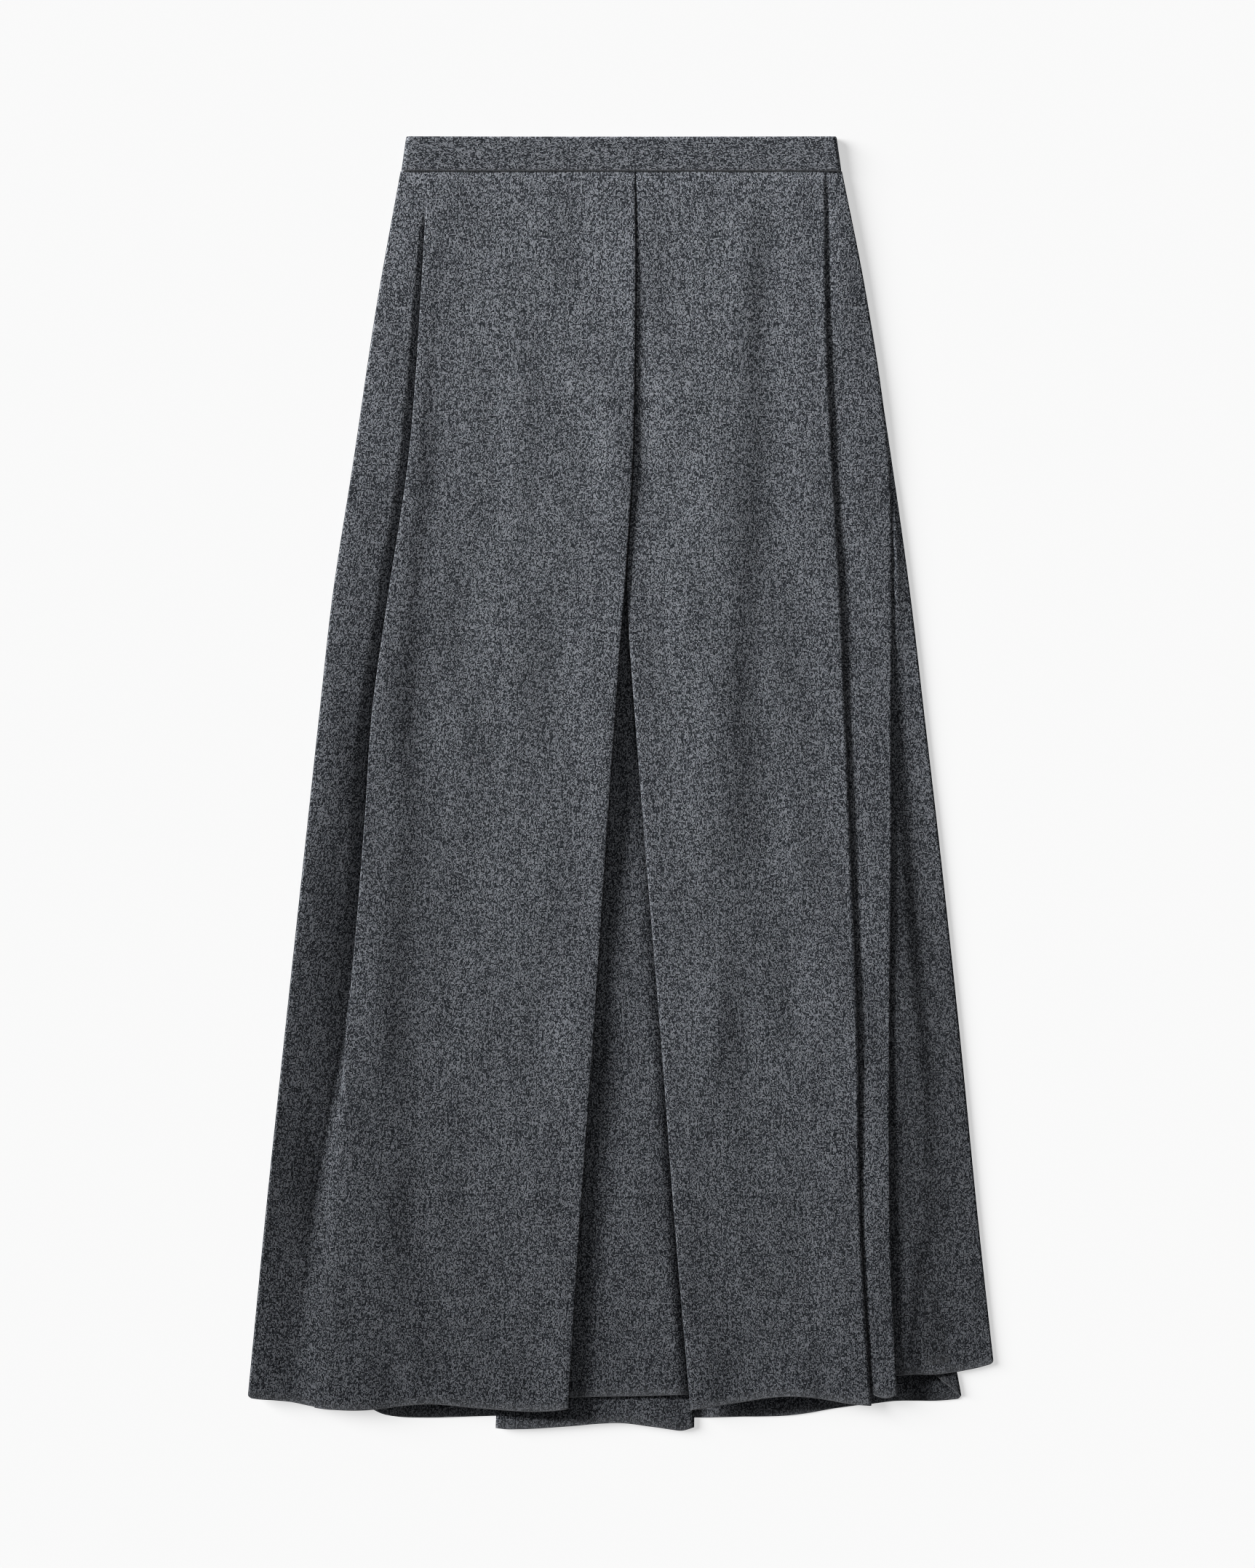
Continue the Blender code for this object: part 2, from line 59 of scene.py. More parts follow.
# where the fold lines and side edges lie across the skirt, by distance below the waist seam
foldLines = {
    "down": (0, 100, 230, 345, 430, 520, 680, 840, 1005),
    "sideLeft": (-175.2, -193.1, -212.6, -230.1, -239.4, -249.1, -266.3, -283.3, -299.5),
    "foldLeft": (-153.7, -159.3, -169.2, -186.2, -197.8, -204.0, -217.6, -236.5, -259.0),
    "centre": (12.0, 12.2, 10.1, 3.8, 3.6, 3.9, 5.2, 5.4, 7.2),
    "foldRight": (163.6, 163.8, 169.0, 175.8, 179.2, 182.8, 188.7, 191.3, 201.0),
    "stripEdge": (176.4, 196.1, 214.0, 216.6, 216.0, 216.2, 214.6, 214.9, 221.5),
    "sideRight": (176.2, 195.4, 215.8, 231.7, 241.6, 252.1, 269.4, 285.2, 303.3),
    "backFoldLeft": (-158.0, -171.0, -187.0, -201.0, -211.0, -220.0, -236.0, -251.0, -266.0),
    "backFoldRight": (158.0, 171.0, 187.0, 202.0, 211.0, 220.0, 235.0, 249.0, 277.5),
}

# the side pleats: how far a pleat's hidden plies reach under it. The left one opens towards the
# hem, into a soft rise as wide as leftOpening, leftCrest of it right of the fold line.
sidePleats = {
    "down": (0, 345, 520, 640, 700, 735, 820, 905, 1005),
    "leftOverlap": (34, 24, 14, 1.5, 0, 0, 0, 0, 0),
    "leftOpening": (0, 0, 0, 0, 0.2, 7, 14, 30, 36),
    "leftCrest": (0, 0, 0, 0, 0.1, 5, 7, 24, 30),
    "rightOverlap": (30, 32, 32, 32, 32, 32, 32, 32, 34),
    "backOverlap": (34, 32, 30, 28, 27, 27, 26, 26, 25),
    "pressed": 0.4,          # a folded edge's depth, as a share of a half circle's
    "turns": (60, 170),      # degrees from which a pleat starts to be pressed, and is fully so
    "flatFrom": 3.1,         # turns beyond this, in radians, count as folded flat
    "leastSlope": 0.02,
    "leastFlank": 0.8,       # between a fold's two arcs
    "flankSpacing": 4.0,
}

# how the front lies above its plies, in rows by distance below the waist seam
relief = {
    "down": (0, 40, 125, 210, 300, 385, 470, 560, 645, 730, 820, 905, 1005),
    # left: the side edge above the valley, how soon the side part climbs to it, the valley above its
    # ply, and the share of the side part over which it leaves the valley
    "leftRise": (0, 0.1, 0.4, 0.7, 1.7, 3.8, 5.6, 6.7, 7.3, 6.8, 4.9, 3.4, 2.4),
    "leftBend": (2, 2, 2, 2, 2, 2, 1.9, 1.7, 1.4, 1.15, 1.0, 1.0, 1.0),
    "valley": (0, 0, 0, 0, 0, 0.2, 0.6, 1.2, 2.2, 4.2, 3.7, 2.8, 2.7),
    "valleyFlat": (0.01, 0.01, 0.01, 0.01, 0.01, 0.01, 0.01, 0.01, 0.01, 0.12, 0.12, 0.1, 0.1),
    # left: how far, and over what width, the side part rises out of the crease beside the fold
    "shoulder": (2.5, 2.6, 2.7, 2.9, 3.0, 2.8, 2.0, 1.2, 0.5, 0, 0, 0, 0),
    "shoulderWidth": (1.5, 4, 7, 9, 10, 11, 12, 12, 12, 12, 12, 12, 12),
    # left: the ridge above its ply, and the fall to the right of it: how far in, how wide, how deep
    "ridge": (0, 0, 0.2, 0.5, 1.0, 1.3, 1.5, 2.0, 2.2, 1.9, 1.5, 1.2, 0.9),
    "ridgeFallAt": (12, 12, 12, 13, 18, 26, 29, 34, 39, 45, 52, 66, 76),
    "ridgeFallWidth": (5, 5, 5, 5.5, 6.5, 9, 10.5, 12, 14, 16, 18, 20, 22),
    "ridgeFall": (0.2, 0.5, 0.9, 1.4, 2.3, 2.7, 3.1, 3.5, 3.6, 3.6, 3.3, 2.7, 2.0),
    # left: the shallow wave between the ridge and the centre
    "wave": (0, 0.1, 0.7, 0.9, 1.3, 0.8, 0.4, 0.2, 0.1, 0, 0, 0, 0),
    # the two centre edges above their ply
    "edgeLeft": (0, 0.9, 1.7, 1.9, 1.9, 2.2, 1.8, 1.2, 1.1, 1.1, 1.1, 1.1, 1.0),
    "edgeRight": (0, 0, 0, 0, 0, 0, 0.1, 0.2, 0.2, 0.2, 0.2, 0.2, 0.2),
    # right: the broad roll over the pleat, and the fall beyond it: where, how wide, how deep
    "roll": (0, 0.6, 1.5, 2.2, 2.8, 3.1, 3.0, 2.8, 2.5, 2.2, 1.8, 1.2, 0.6),
    "rollFallAt": (112, 112, 109, 107, 102, 98, 95, 91, 89, 87, 82, 80, 79),
    "rollFallWidth": (9, 9, 10, 11, 13, 14, 14, 14, 15, 16, 17, 17, 17),
    "rollFall": (0, 1.2, 2.7, 3.3, 3.6, 3.5, 3.2, 2.9, 2.7, 2.4, 2.0, 1.4, 0.7),
    # right: the outer fold above its ply, the step down from it to the strip, how far from the fold
    # the strip has climbed out, and the strip's fall to its own edge
    "outer": (0, 0, -0.1, -0.3, -0.5, -0.6, -0.5, -0.1, 0.2, 0.5, 0.6, 0.6, 0.4),
    "stripStep": (0.5, 0.6, 1.2, 1.5, 1.5, 1.5, 1.5, 1.5, 1.5, 1.4, 0.9, 0.6, 0.5),
    "groove": (5, 5, 5, 5, 5, 5, 5, 5, 5, 4.5, 3.4, 2.8, 2.6),
    "stripFall": (0.4, 0.9, 1.3, 1.1, 0.6, 0.5, 0.4, 0.3, 0.2, 0.2, 0.2, 0.2, 0.2),
    # right: how far, and over what width, the side part rises out of the crease beside the strip,
    # the height of the side edge, and how late the side part falls to it
    "rightShoulder": (1.5, 1.5, 1.7, 2.1, 3.0, 1.6, 0.9, 0.9, 0.9, 0.9, 0.9, 0.9, 0.9),
    "rightShoulderWidth": (5, 5, 4.5, 4, 4.5, 4.5, 3, 2, 2, 2, 2, 2, 2),
    "rightEdge": (3.2, 3.2, 3.2, 3.3, 3.3, 2.9, 2.6, 2.6, 2.6, 2.6, 2.6, 2.6, 2.6),
    "rightBend": (0.9, 0.9, 0.9, 0.9, 0.9, 0.7, 0.6, 0.62, 0.66, 0.66, 0.68, 0.7, 0.7),
    # right: a slanting fold across the side part: where it steps down, and how far
    "slantAt": (210, 210, 210, 210, 210, 212, 222, 229, 236, 244, 246, 234, 235),
    "slantFall": (0, 0, 0, 0, 0, 0.3, 2.3, 3.6, 2.5, 1.7, 0.8, 2.0, 0.9),
    # how light each stretch of cloth is, as a share of the wool's own colour: painted light and shade,
    # lighter or darker than the wool where the lamps leave a stretch too dark or too light
    "panelPaintedLight": (0.93, 0.93, 0.93, 0.92, 0.9, 0.89, 0.9, 0.92, 0.94, 0.95, 0.93, 0.91, 0.84),
    "leftSidePaintedLight": (0.98, 0.96, 0.96, 0.95, 0.94, 0.92, 0.91, 0.9, 0.9, 0.9, 0.9, 0.95, 1.0),
    "stripPaintedLight": (0.95, 0.94, 0.92, 0.91, 0.9, 0.9, 0.9, 0.9, 0.9, 0.89, 0.88, 0.86, 0.8),
    "rightSidePaintedLight": (0.97, 0.97, 0.96, 0.95, 0.94, 0.9, 0.75, 0.66, 0.62, 0.63, 0.7, 0.74, 0.76),
    "underlayPaintedLight": (0.9, 0.9, 0.9, 0.85, 0.7, 0.7, 0.86, 0.88, 0.9, 0.92, 0.94, 0.94, 0.88),
    "backLeftPaintedLight": (1.25,) * 13,
    "backRightPaintedLight": (1.05,) * 13,
    "backCornerPaintedLight": (0.54,) * 13,
    # the front pleat's underlay above its ply, at the left fold and in the middle, and how deep and
    # how wide the crease at the right fold is
    "underLeft": (0, 0, 0, -1.2, -2.6, -2.8, 0.0, 1.3, 1.8, 1.9, 1.9, 1.8, 1.7),
    "underMiddle": (0, 0, 0, -1.2, -2.6, -2.8, -1.5, -0.9, -0.6, -0.4, -0.4, -0.3, -0.2),
    "creaseDepth": (0, 0, 0, 0, 0, 0.5, 1.0, 1.5, 1.7, 2.0, 2.3, 2.4, 2.4),
    "creaseWidth": (12, 12, 12, 12, 12, 12, 12, 12, 12, 11, 11, 11, 11),
}

# hem lines as (across, depth below the waist seam)
hemLines = {
    "frontLeft": ((-298, 975.4), (-289, 976.9), (-276, 978.0), (-263, 979.4), (-248, 982.4),
                  (-234, 984.8), (-222, 985.8), (-206, 986.0), (-190, 984.9), (-172, 982.6),
                  (-152, 981.4), (-136, 982.3), (-123, 983.7), (-100, 985.6), (-72, 987.2),
                  (-52, 986.4), (-41, 984.8)),
    "frontRight": ((56, 985.6), (66, 984.4), (82, 981.8), (97, 979.6), (116, 976.6), (136, 975.0),
                   (150, 975.8), (161, 977.3), (181, 980.8), (192, 982.0), (200, 982.4)),
    "frontStrip": ((200, 972.7), (204, 974.9), (210, 976.3), (216, 975.8), (220, 973.6)),
    "frontSideRight": ((220, 958.9), (238, 958.3), (252, 958.5), (266, 957.0), (280, 954.6),
                       (290, 952.6), (298, 950.4)),
    "frontUnderlay": ((-69, 976.5), (-41, 976.1), (6, 975.6), (53, 974.4), (103, 973.5)),
    "backLeft": ((-266, 968), (-240, 974), (-216, 980.2), (-205, 982.8), (-197, 985.8), (-192, 989),
                 (-185, 991.8), (-174, 992.7), (-152, 993.2), (-126, 992.6), (-100, 991.8), (-45, 992)),
    "backSideLeft": ((-297, 969), (-240, 968)),
    "backRight": ((5, 992.5), (77, 993), (94, 992.5), (111, 992.4), (129, 991.8), (146, 990),
                  (164, 986.8), (181, 984.3), (198, 982.5), (212, 980.6), (224, 979.6), (242, 979.8),
                  (259, 979.4), (267, 978.6), (272, 977.6)),
    "backSideRight": ((245, 952), (297, 944)),
    "backUnderlay": ((-100, 1000.0), (-98, 1001.5), (-93, 1001.9), (-80, 1001.9), (-71, 1001.7),
                     (-54, 1000.6), (-36, 999.3), (-19, 997.7), (-2, 997), (8, 997.6), (16, 998.8),
                     (33, 1001), (50, 1003.2), (55, 1002.9), (58, 1000.6)),
}


# cubic pieces through the rows of a table, each row's slope being that of its neighbours, and run on
# by half a row at most beyond its ends
def through(at, places, values):
    places, values = np.asarray(places, float), np.asarray(values, float)
    slopes = np.gradient(values, places)
    k = np.clip(np.searchsorted(places, at, side="right") - 1, 0, len(places) - 2)
    span = places[k + 1] - places[k]
    t = np.clip((at - places[k]) / span, -0.5, 1.5)
    start = values[k] * (1 + 2 * t) * (1 - t) ** 2 + slopes[k] * span * t * (1 - t) ** 2
    end = values[k + 1] * t ** 2 * (3 - 2 * t) + slopes[k + 1] * span * t ** 2 * (t - 1)
    return start + end


# a row of each table at a distance below the waist seam
def lineAt(name, down):
    return through(down, foldLines["down"], foldLines[name])


def reliefAt(name, down):
    return through(down, relief["down"], relief[name])


def pleatAt(name, down):
    return np.interp(down, sidePleats["down"], sidePleats[name])


# the same value at every distance
def steady(value):
    return lambda d: np.full_like(d, value)


# the ply that each part lies on, counted from 0 on the surface
plies = {"backPanel": 0, "backReturn": 1, "backSide": 2, "backUnderlay": 2, "frontUnderlay": 3,
         "frontSide": 3, "frontPanel": 5}


# height of the middle of a ply: half a wall, and a pitch for each ply under it
def plyHeight(ply, down):
    pitch = lay["pitchWaist"] + (lay["pitchHem"] - lay["pitchWaist"]) * down / lay["reach"]
    return lay["ply"] / 2 + ply * pitch


def plyPitch(down):
    return plyHeight(1, down) - plyHeight(0, down)


# 1 at the waistband's seam, fading with the square of the distance below it
def heldByBand(down):
    return np.exp(-(down / lay["bandHold"]) ** 2)


# 0 up to 0, 1 from 1, and the smooth cubic step between them
def step(t):
    t = np.clip(t, 0, 1)
    return t * t * (3 - 2 * t)


# the centre front pleat: closed at the waist, then spreading evenly from opensAt, and where the
# underlay's two sewn edges lie
centrePleat = {
    "closedGap": 0.3, "opensAt": 333.0, "round": 14.0, "spread": 0.148,
    "underlay": (-69.0, 103.0),
    "returnGuides": 9,
    # how much shorter than the panel the return is at its fold, how much more so at its sewn edge,
    # and how much shorter the fold itself is
    "returnShort": 2, "returnSlant": 10, "foldShort": 0.8,
}


# half of the pleat's gap beside its centre line: a hyperbola from the closed gap to the spread one
def centreEdge(side, down):
    past = down - centrePleat["opensAt"]
    spread = 0.5 * (past + np.sqrt(past ** 2 + centrePleat["round"] ** 2))
    gap = centrePleat["closedGap"] + centrePleat["spread"] * spread
    return lineAt("centre", down) + side * 0.5 * gap


# 0 left of a place and 1 right of it, changing over about twice the width
def fall(across, at, width):
    return 0.5 + 0.5 * np.tanh((across - at) / width)


# a bell curve: 1 at its place, about a third a width away
def bell(across, at, width):
    return np.exp(-((across - at) / width) ** 2)


unevenness = {"seed": 5, "waves": 14, "across": (35, 110), "along": (120, 420), "lift": 0.22}


# a smooth uneven field: sines of wavelengths within bounds, in seeded directions and phases
def unevenLift(across, down):
    draw = np.random.default_rng(unevenness["seed"])
    total = np.zeros_like(across)
    for wave in range(unevenness["waves"]):
        fx = 2 * np.pi / draw.uniform(*unevenness["across"]) * draw.choice((-1, 1))
        fy = 2 * np.pi / draw.uniform(*unevenness["along"])
        total += np.sin(fx * across + fy * down + draw.uniform(0, 2 * np.pi))
    return total * unevenness["lift"] / np.sqrt(unevenness["waves"] / 2)


# the pinch at the band, and the height at which a ply takes up the unevenness in full
settling = {"pinch": 0.13, "pinchReach": 1.8, "fullAt": 8.0, "most": 1.1}


# every ply follows the same unevenness, the more so the higher it lies, and is pinched at the band
def settle(across, down, height):
    share = np.clip((height - lay["ply"] / 2) / settling["fullAt"], 0, settling["most"])
    height = height + share * unevenLift(across, down)
    return height * (1 - settling["pinch"] * bell(down, 0, settling["pinchReach"]))


wall = {
    "edge": 0.9,             # how far in from a cut edge the rows stand close
    "closeRows": (0, 0.1, 0.3, 0.6),   # at these shares of it
    "nextRow": 1.8,          # and the next row so many times as far in
    "round": 0.55,           # radius of an edge's rounding, as a share of the wall
    "least": 0.16,           # what is left of the wall's thickness at its very edge
    "painted": 0.8,          # width of the painted highlight along a hem
    "foldFrom": 0.9,         # how level cloth is, 1 being level, where it starts to count as a fold
    "foldSpan": 0.5,         # and how much less level it is where it counts in full
}


# shares of the way from waist to hem, with a few close rows that round the two cut edges
def rowShares(rows):
    close = np.array(wall["closeRows"]) * wall["edge"] / lay["reach"]
    first = close[-1] * wall["nextRow"]
    middle = np.linspace(first, 1 - first, rows - 2 * len(close))
    return np.concatenate((close, middle, 1 - close[::-1]))


# cubic pieces through the guide columns. A tangent follows the longer chord beside it,
# so that a straight stretch stays straight up to the arc that ends it.
def refine(guides, spacing):
    chord = np.maximum(np.linalg.norm(np.diff(guides, axis=1), axis=2, keepdims=True), 1e-6)
    direction = np.diff(guides, axis=1) / chord
    tangent = np.empty_like(guides)
    before, after = chord[:, :-1], chord[:, 1:]
    tangent[:, 1:-1] = (direction[:, :-1] * before + direction[:, 1:] * after) / (before + after)
    tangent[:, 0], tangent[:, -1] = direction[:, 0], direction[:, -1]
    counts = np.maximum(1, np.ceil(chord[:, :, 0].max(0) / np.asarray(spacing[:-1]))).astype(int)
    which = np.repeat(np.arange(len(counts)), counts)
    t = np.concatenate([np.arange(n) / n for n in counts])[None, :, None]
    a, b, length = guides[:, which], guides[:, which + 1], chord[:, which]
    fine = (a * (1 + 2 * t) * (1 - t) ** 2 + tangent[:, which] * length * t * (1 - t) ** 2
            + b * t ** 2 * (3 - 2 * t) + tangent[:, which + 1] * length * t ** 2 * (t - 1))
    return np.concatenate((fine, guides[:, -1:]), 1)


# the share of the wall's thickness near a cut edge, round like a quarter circle
def edgeProfile(distance, radius):
    t = np.clip(distance / radius, 0, 1)
    return np.maximum(np.sqrt(1 - (1 - t) ** 2), wall["least"])


# a closed wall: the middle surface moved half a wall both ways along its own normals, and a rim
def wallMesh(name, points, thickness, grainColumn, paintedLight, roundTop=True):
    rows, columns = points.shape[:2]
    alongRow = np.gradient(points, axis=1)
    alongDown = np.gradient(points, axis=0)
    normal = np.cross(alongRow, alongDown)
    normal /= np.maximum(np.linalg.norm(normal, axis=2, keepdims=True), 1e-9)
    fromTop = np.cumsum(np.insert(np.linalg.norm(np.diff(points, axis=0), axis=2), 0, 0, 0), 0)
    fromStart = np.cumsum(np.insert(np.linalg.norm(np.diff(points, axis=1), axis=2), 0, 0, 1), 1)
    radius = wall["round"] * thickness
    share = (edgeProfile(fromTop[-1] - fromTop, radius) * edgeProfile(fromStart, radius)
             * edgeProfile(fromStart[:, -1:] - fromStart, radius))
    if roundTop:
        share = share * edgeProfile(fromTop, radius)
    half = thickness / 2 * share[..., None]
    upper, lower = points + normal * half, points - normal * half
    vertices = np.concatenate((upper.reshape(-1, 3), lower.reshape(-1, 3))) * mm
    index = np.arange(rows * columns).reshape(rows, columns)
    other = index + rows * columns
    face = np.stack((index[:-1, :-1], index[1:, :-1], index[1:, 1:], index[:-1, 1:]), 2).reshape(-1, 4)
    edges = ((index[0], other[0]), (other[-1], index[-1]),
             (other[:, 0], index[:, 0]), (index[:, -1], other[:, -1]))
    rims = [np.stack((a[:-1], a[1:], b[1:], b[:-1]), 1) for a, b in edges]
    faces = np.concatenate([face, face[:, ::-1] + rows * columns] + rims)
    mesh = bpy.data.meshes.new(name)
    mesh.from_pydata(vertices.tolist(), [], faces.tolist())
    # the weave's own map, in metres: across from the grain line, and down from the waist
    across = fromStart - fromStart[:, grainColumn:grainColumn + 1]
    weave = np.stack((across, -fromTop), 2).reshape(-1, 2) * mm
    loops = np.empty(len(mesh.loops), int)
    mesh.loops.foreach_get("vertex_index", loops)
    mesh.uv_layers.new(name="weave").data.foreach_set("uv", weave[loops % (rows * columns)].ravel())
    # how near a point is to its hem, where a highlight is painted; how steeply the cloth turns down, where
    # fold edges get painted shade; and the painted light and shade of each stretch
    nearHem = bell(fromTop[-1] - fromTop, 0, wall["painted"])
    steep = step((wall["foldFrom"] - np.abs(normal[..., 2])) / wall["foldSpan"])
    for word, values in (("hemEdge", nearHem), ("foldEdge", steep), ("paintedLight", paintedLight)):
        mesh.attributes.new(word, "FLOAT", "POINT").data.foreach_set("value", np.tile(values.ravel(), 2))
    mesh.shade_smooth()
    if signedVolume(vertices, faces) < 0:
        mesh.flip_normals()
    piece = bpy.data.objects.new(name, mesh)
    bpy.context.scene.collection.objects.link(piece)
    return piece


# the sum of the tetrahedra from the origin to each face's two triangles
def signedVolume(vertices, faces):
    a, b, c, d = (vertices[faces[:, k]] for k in range(4))
    return float((np.cross(a, b) * c).sum() + (np.cross(a, c) * d).sum()) / 6


# a guide column: where it lies across, how high, its own hem, how close the next columns stand,
# and which row of the relief gives its painted light and shade
def guide(xOf, zOf, hem, spacing, paintedLight="panelPaintedLight"):
    return {"x": xOf, "z": zOf, "hem": float(hem), "spacing": spacing, "paintedLight": paintedLight}


# the same guides with another row for their painted light and shade
def withPaintedLight(guides, paintedLight):
    return [{**g, "paintedLight": paintedLight} for g in guides]


# a piece of cloth from its guides: each runs from under the waistband to its hem, cubics join them,
# and the surface settles. The grain line runs down the guide given.
def clothPiece(name, guides, rows, grainGuide):
    shares = rowShares(rows)
    columns = []
    for g in guides:
        down = shares * (g["hem"] + lay["tuck"])
        columns.append(np.stack((g["x"](down), down, g["z"](down), reliefAt(g["paintedLight"], down)), 1))
    points = refine(np.stack(columns, 1), [g["spacing"] for g in guides])
    across, down, height = points[..., 0], points[..., 1], points[..., 2]
    height = settle(across, down, height)
    middle = np.abs(across[rows // 2] - guides[grainGuide]["x"](down[rows // 2, :1])).argmin()
    surface = np.stack((across, seamY + lay["tuck"] - down, height), 2)
    piece = wallMesh(name, surface, lay["ply"], middle, points[..., 3], roundTop=False)
    columns = points.shape[1]
    heights = [round(float(bound), 2) for bound in (height.min(), height.max())]
    print(name, "rows", rows, "columns", columns, "triangles", 4 * rows * columns, "z", heights)
    return piece


# how far inside its visible edge a fold starts to turn: half a wall, and the pressed half circle
def foldInset(d):
    return (lay["ply"] + sidePleats["pressed"] * plyPitch(d)) / 2


# a half circle, pressed flatter, at a fold edge, from the ply at low to the ply at high
def turnBack(edge, low, high, outward, hem, spacing=lay["foldSpacing"]):
    def x(angle):
        return lambda d: (edge(d) - outward * sidePleats["pressed"] * abs(high(d) - low(d)) / 2
                          * np.sin(angle))

    def z(angle):
        return lambda d: low(d) + (high(d) - low(d)) / 2 * (1 - np.cos(angle))

    return [guide(x(a), z(a), hem, spacing) for a in np.radians((45, 90, 135))]


foldedFlat = steady(180.0)   # the turn of a pleat in degrees


# a pleat's fold: an arc through the turn, a flank, and an arc back to the first heading.
# A folded pleat's arcs are pressed flatter than half circles, an open one's are round.
def foldUnder(x, z, outward, upward, radius, turn, overlap, drop, hemAtStep, follow=None,
              spacing=lay["foldSpacing"]):
    def wide(d):
        return radius(d) * np.interp(turn(d), sidePleats["turns"], (1, sidePleats["pressed"]))

    def bend(d):
        return np.radians(turn(d))

    # the overlap, and on an open pleat also what the arcs leave of the drop
    def flank(d):
        leftOver = np.maximum(drop(d) - 2 * radius(d) * (1 - np.cos(bend(d))), 0)
        slanted = np.where(bend(d) < sidePleats["flatFrom"],
                           leftOver / np.maximum(np.sin(bend(d)), sidePleats["leastSlope"]), 0)
        return np.maximum(overlap(d) + slanted, sidePleats["leastFlank"])

    # follow lifts a point by its place, as it lifts the ply above
    def placed(xOf, zOf):
        if follow is None:
            return xOf, zOf
        return xOf, lambda d: zOf(d) + follow(xOf(d), d) - follow(x(d), d)

    # the two arcs at a share of the turn, the second one counted back from its end
    def first(share):
        return placed(lambda d: x(d) + outward * wide(d) * np.sin(share * bend(d)),
                      lambda d: z(d) - upward * radius(d) * (1 - np.cos(share * bend(d))))

    def second(share):
        return placed(lambda d: x(d) + outward * (2 * wide(d) * np.sin(bend(d)) + flank(d) * np.cos(bend(d))
                                                  - wide(d) * np.sin(share * bend(d))),
                      lambda d: z(d) + upward * (-radius(d) + 2 * radius(d) * np.cos(bend(d))
                                                 - flank(d) * np.sin(bend(d))
                                                 - radius(d) * np.cos(share * bend(d))))

    quarters = (0.25, 0.5, 0.75, 1.0)
    made = [guide(*first(s), hemAtStep(k), spacing) for k, s in enumerate(quarters)]
    made[-1]["spacing"] = sidePleats["flankSpacing"]
    returning = enumerate((*quarters[::-1], 0.0), len(quarters))
    return made + [guide(*second(s), hemAtStep(k), spacing) for k, s in returning]


# the side edge: a quarter of an ellipse down to the surface. Its hems are set by sideCorner.
def rollDown(side, z, outward, roll):
    made = []
    for angle in np.radians(np.arange(0, 91, 15)):
        made.append(guide(
            lambda d, a=angle: side(d) - outward * (lay["rim"] + roll(d) * (1 - np.sin(a))),
            lambda d, a=angle: z(d) - np.maximum(z(d) - lay["ply"], 0) * (1 - np.cos(a)),
            0, front["cornerSpacing"]))
    return made


front = {
    "rows": 150,
    "panelGuides": 25,
    "spacing": 3.3,          # between columns that show
    "hiddenSpacing": 8.0,
    "cornerSpacing": 0.6,    # and round a side edge
    "sideRoll": 1.0,
    "cornerRadius": 3.6,     # where a hem rounds up into a side edge
    "cornerPlaces": (3.4, 2.4, 1.6, 0.8),   # the last guides before a side edge, from it inwards
}
hemReading = np.array([980.0])   # hem lines are read at the places the fold lines have here


# the depth of a hem where a guide comes down to it
def hemOf(name, x):
    places, depths = np.array(hemLines[name], float).T
    return float(through(np.clip(x(hemReading), places[0], places[-1]), places, depths)[0])


# guides at shares of the way from one edge to another, as high as a surface is there
def guidesBetween(start, end, shares, height, hemName, spacing):
    made = []
    for share in shares:
        x = (lambda d, s=share: start(d) + s * (end(d) - start(d)))
        made.append(guide(x, lambda d, x=x: height(x(d), d), hemOf(hemName, x), spacing))
    return made


# how much shorter a hem is at a distance from the side edge: a quarter circle
def cornerCut(distance):
    radius = front["cornerRadius"]
    return radius - np.sqrt(radius ** 2 - np.maximum(radius - distance, 0) ** 2)


# the last stretch before a side edge, and its roll, with a hem that rounds the corner
def sideCorner(edgeX, height, outward, roll, hemName):
    made = []
    for inward in front["cornerPlaces"]:
        x = (lambda d, s=inward: edgeX(d) - outward * s)
        made.append(guide(x, lambda d, x=x: height(x(d), d), 0, front["cornerSpacing"]))
    side = (lambda d: edgeX(d) + outward * (roll(d) + lay["ply"] / 2))
    made += rollDown(side, lambda d: height(edgeX(d), d), outward, roll)
    for row in made:
        distance = abs(float((row["x"](hemReading) - side(hemReading))[0]))
        row["hem"] = hemOf(hemName, row["x"]) - cornerCut(distance)
    return made


# the return of the centre pleat from its sewn edge to its fold, one ply under the panel, then the
# fold, and the panel from there to the crest of the side pleat
def centrePanel(outward, sewnAt, panelHeight, crestX, hemName):
    def edge(d):
        return centreEdge(outward, d) + outward * foldInset(d)

    def under(x, d):
        return panelHeight(x, d) - plyPitch(d)

    hem = hemOf(hemName, lambda d: centreEdge(outward, d))
    shares = np.linspace(0, 1, centrePleat["returnGuides"])
    made = guidesBetween(steady(sewnAt), edge, shares, under, hemName, front["hiddenSpacing"])
    for row, share in zip(made, shares):
        row["hem"] = hem - centrePleat["returnShort"] - centrePleat["returnSlant"] * (1 - share)
    made[-1]["spacing"] = lay["foldSpacing"]
    made += turnBack(edge, lambda d: under(edge(d), d), lambda d: panelHeight(edge(d), d), outward,
                     hem - centrePleat["foldShort"])
    grain = len(made) + front["panelGuides"] // 2
    made += guidesBetween(edge, crestX, np.linspace(0, 1, front["panelGuides"]), panelHeight, hemName,
                          front["spacing"])
    made[-1]["spacing"] = lay["foldSpacing"]
    return made, grain


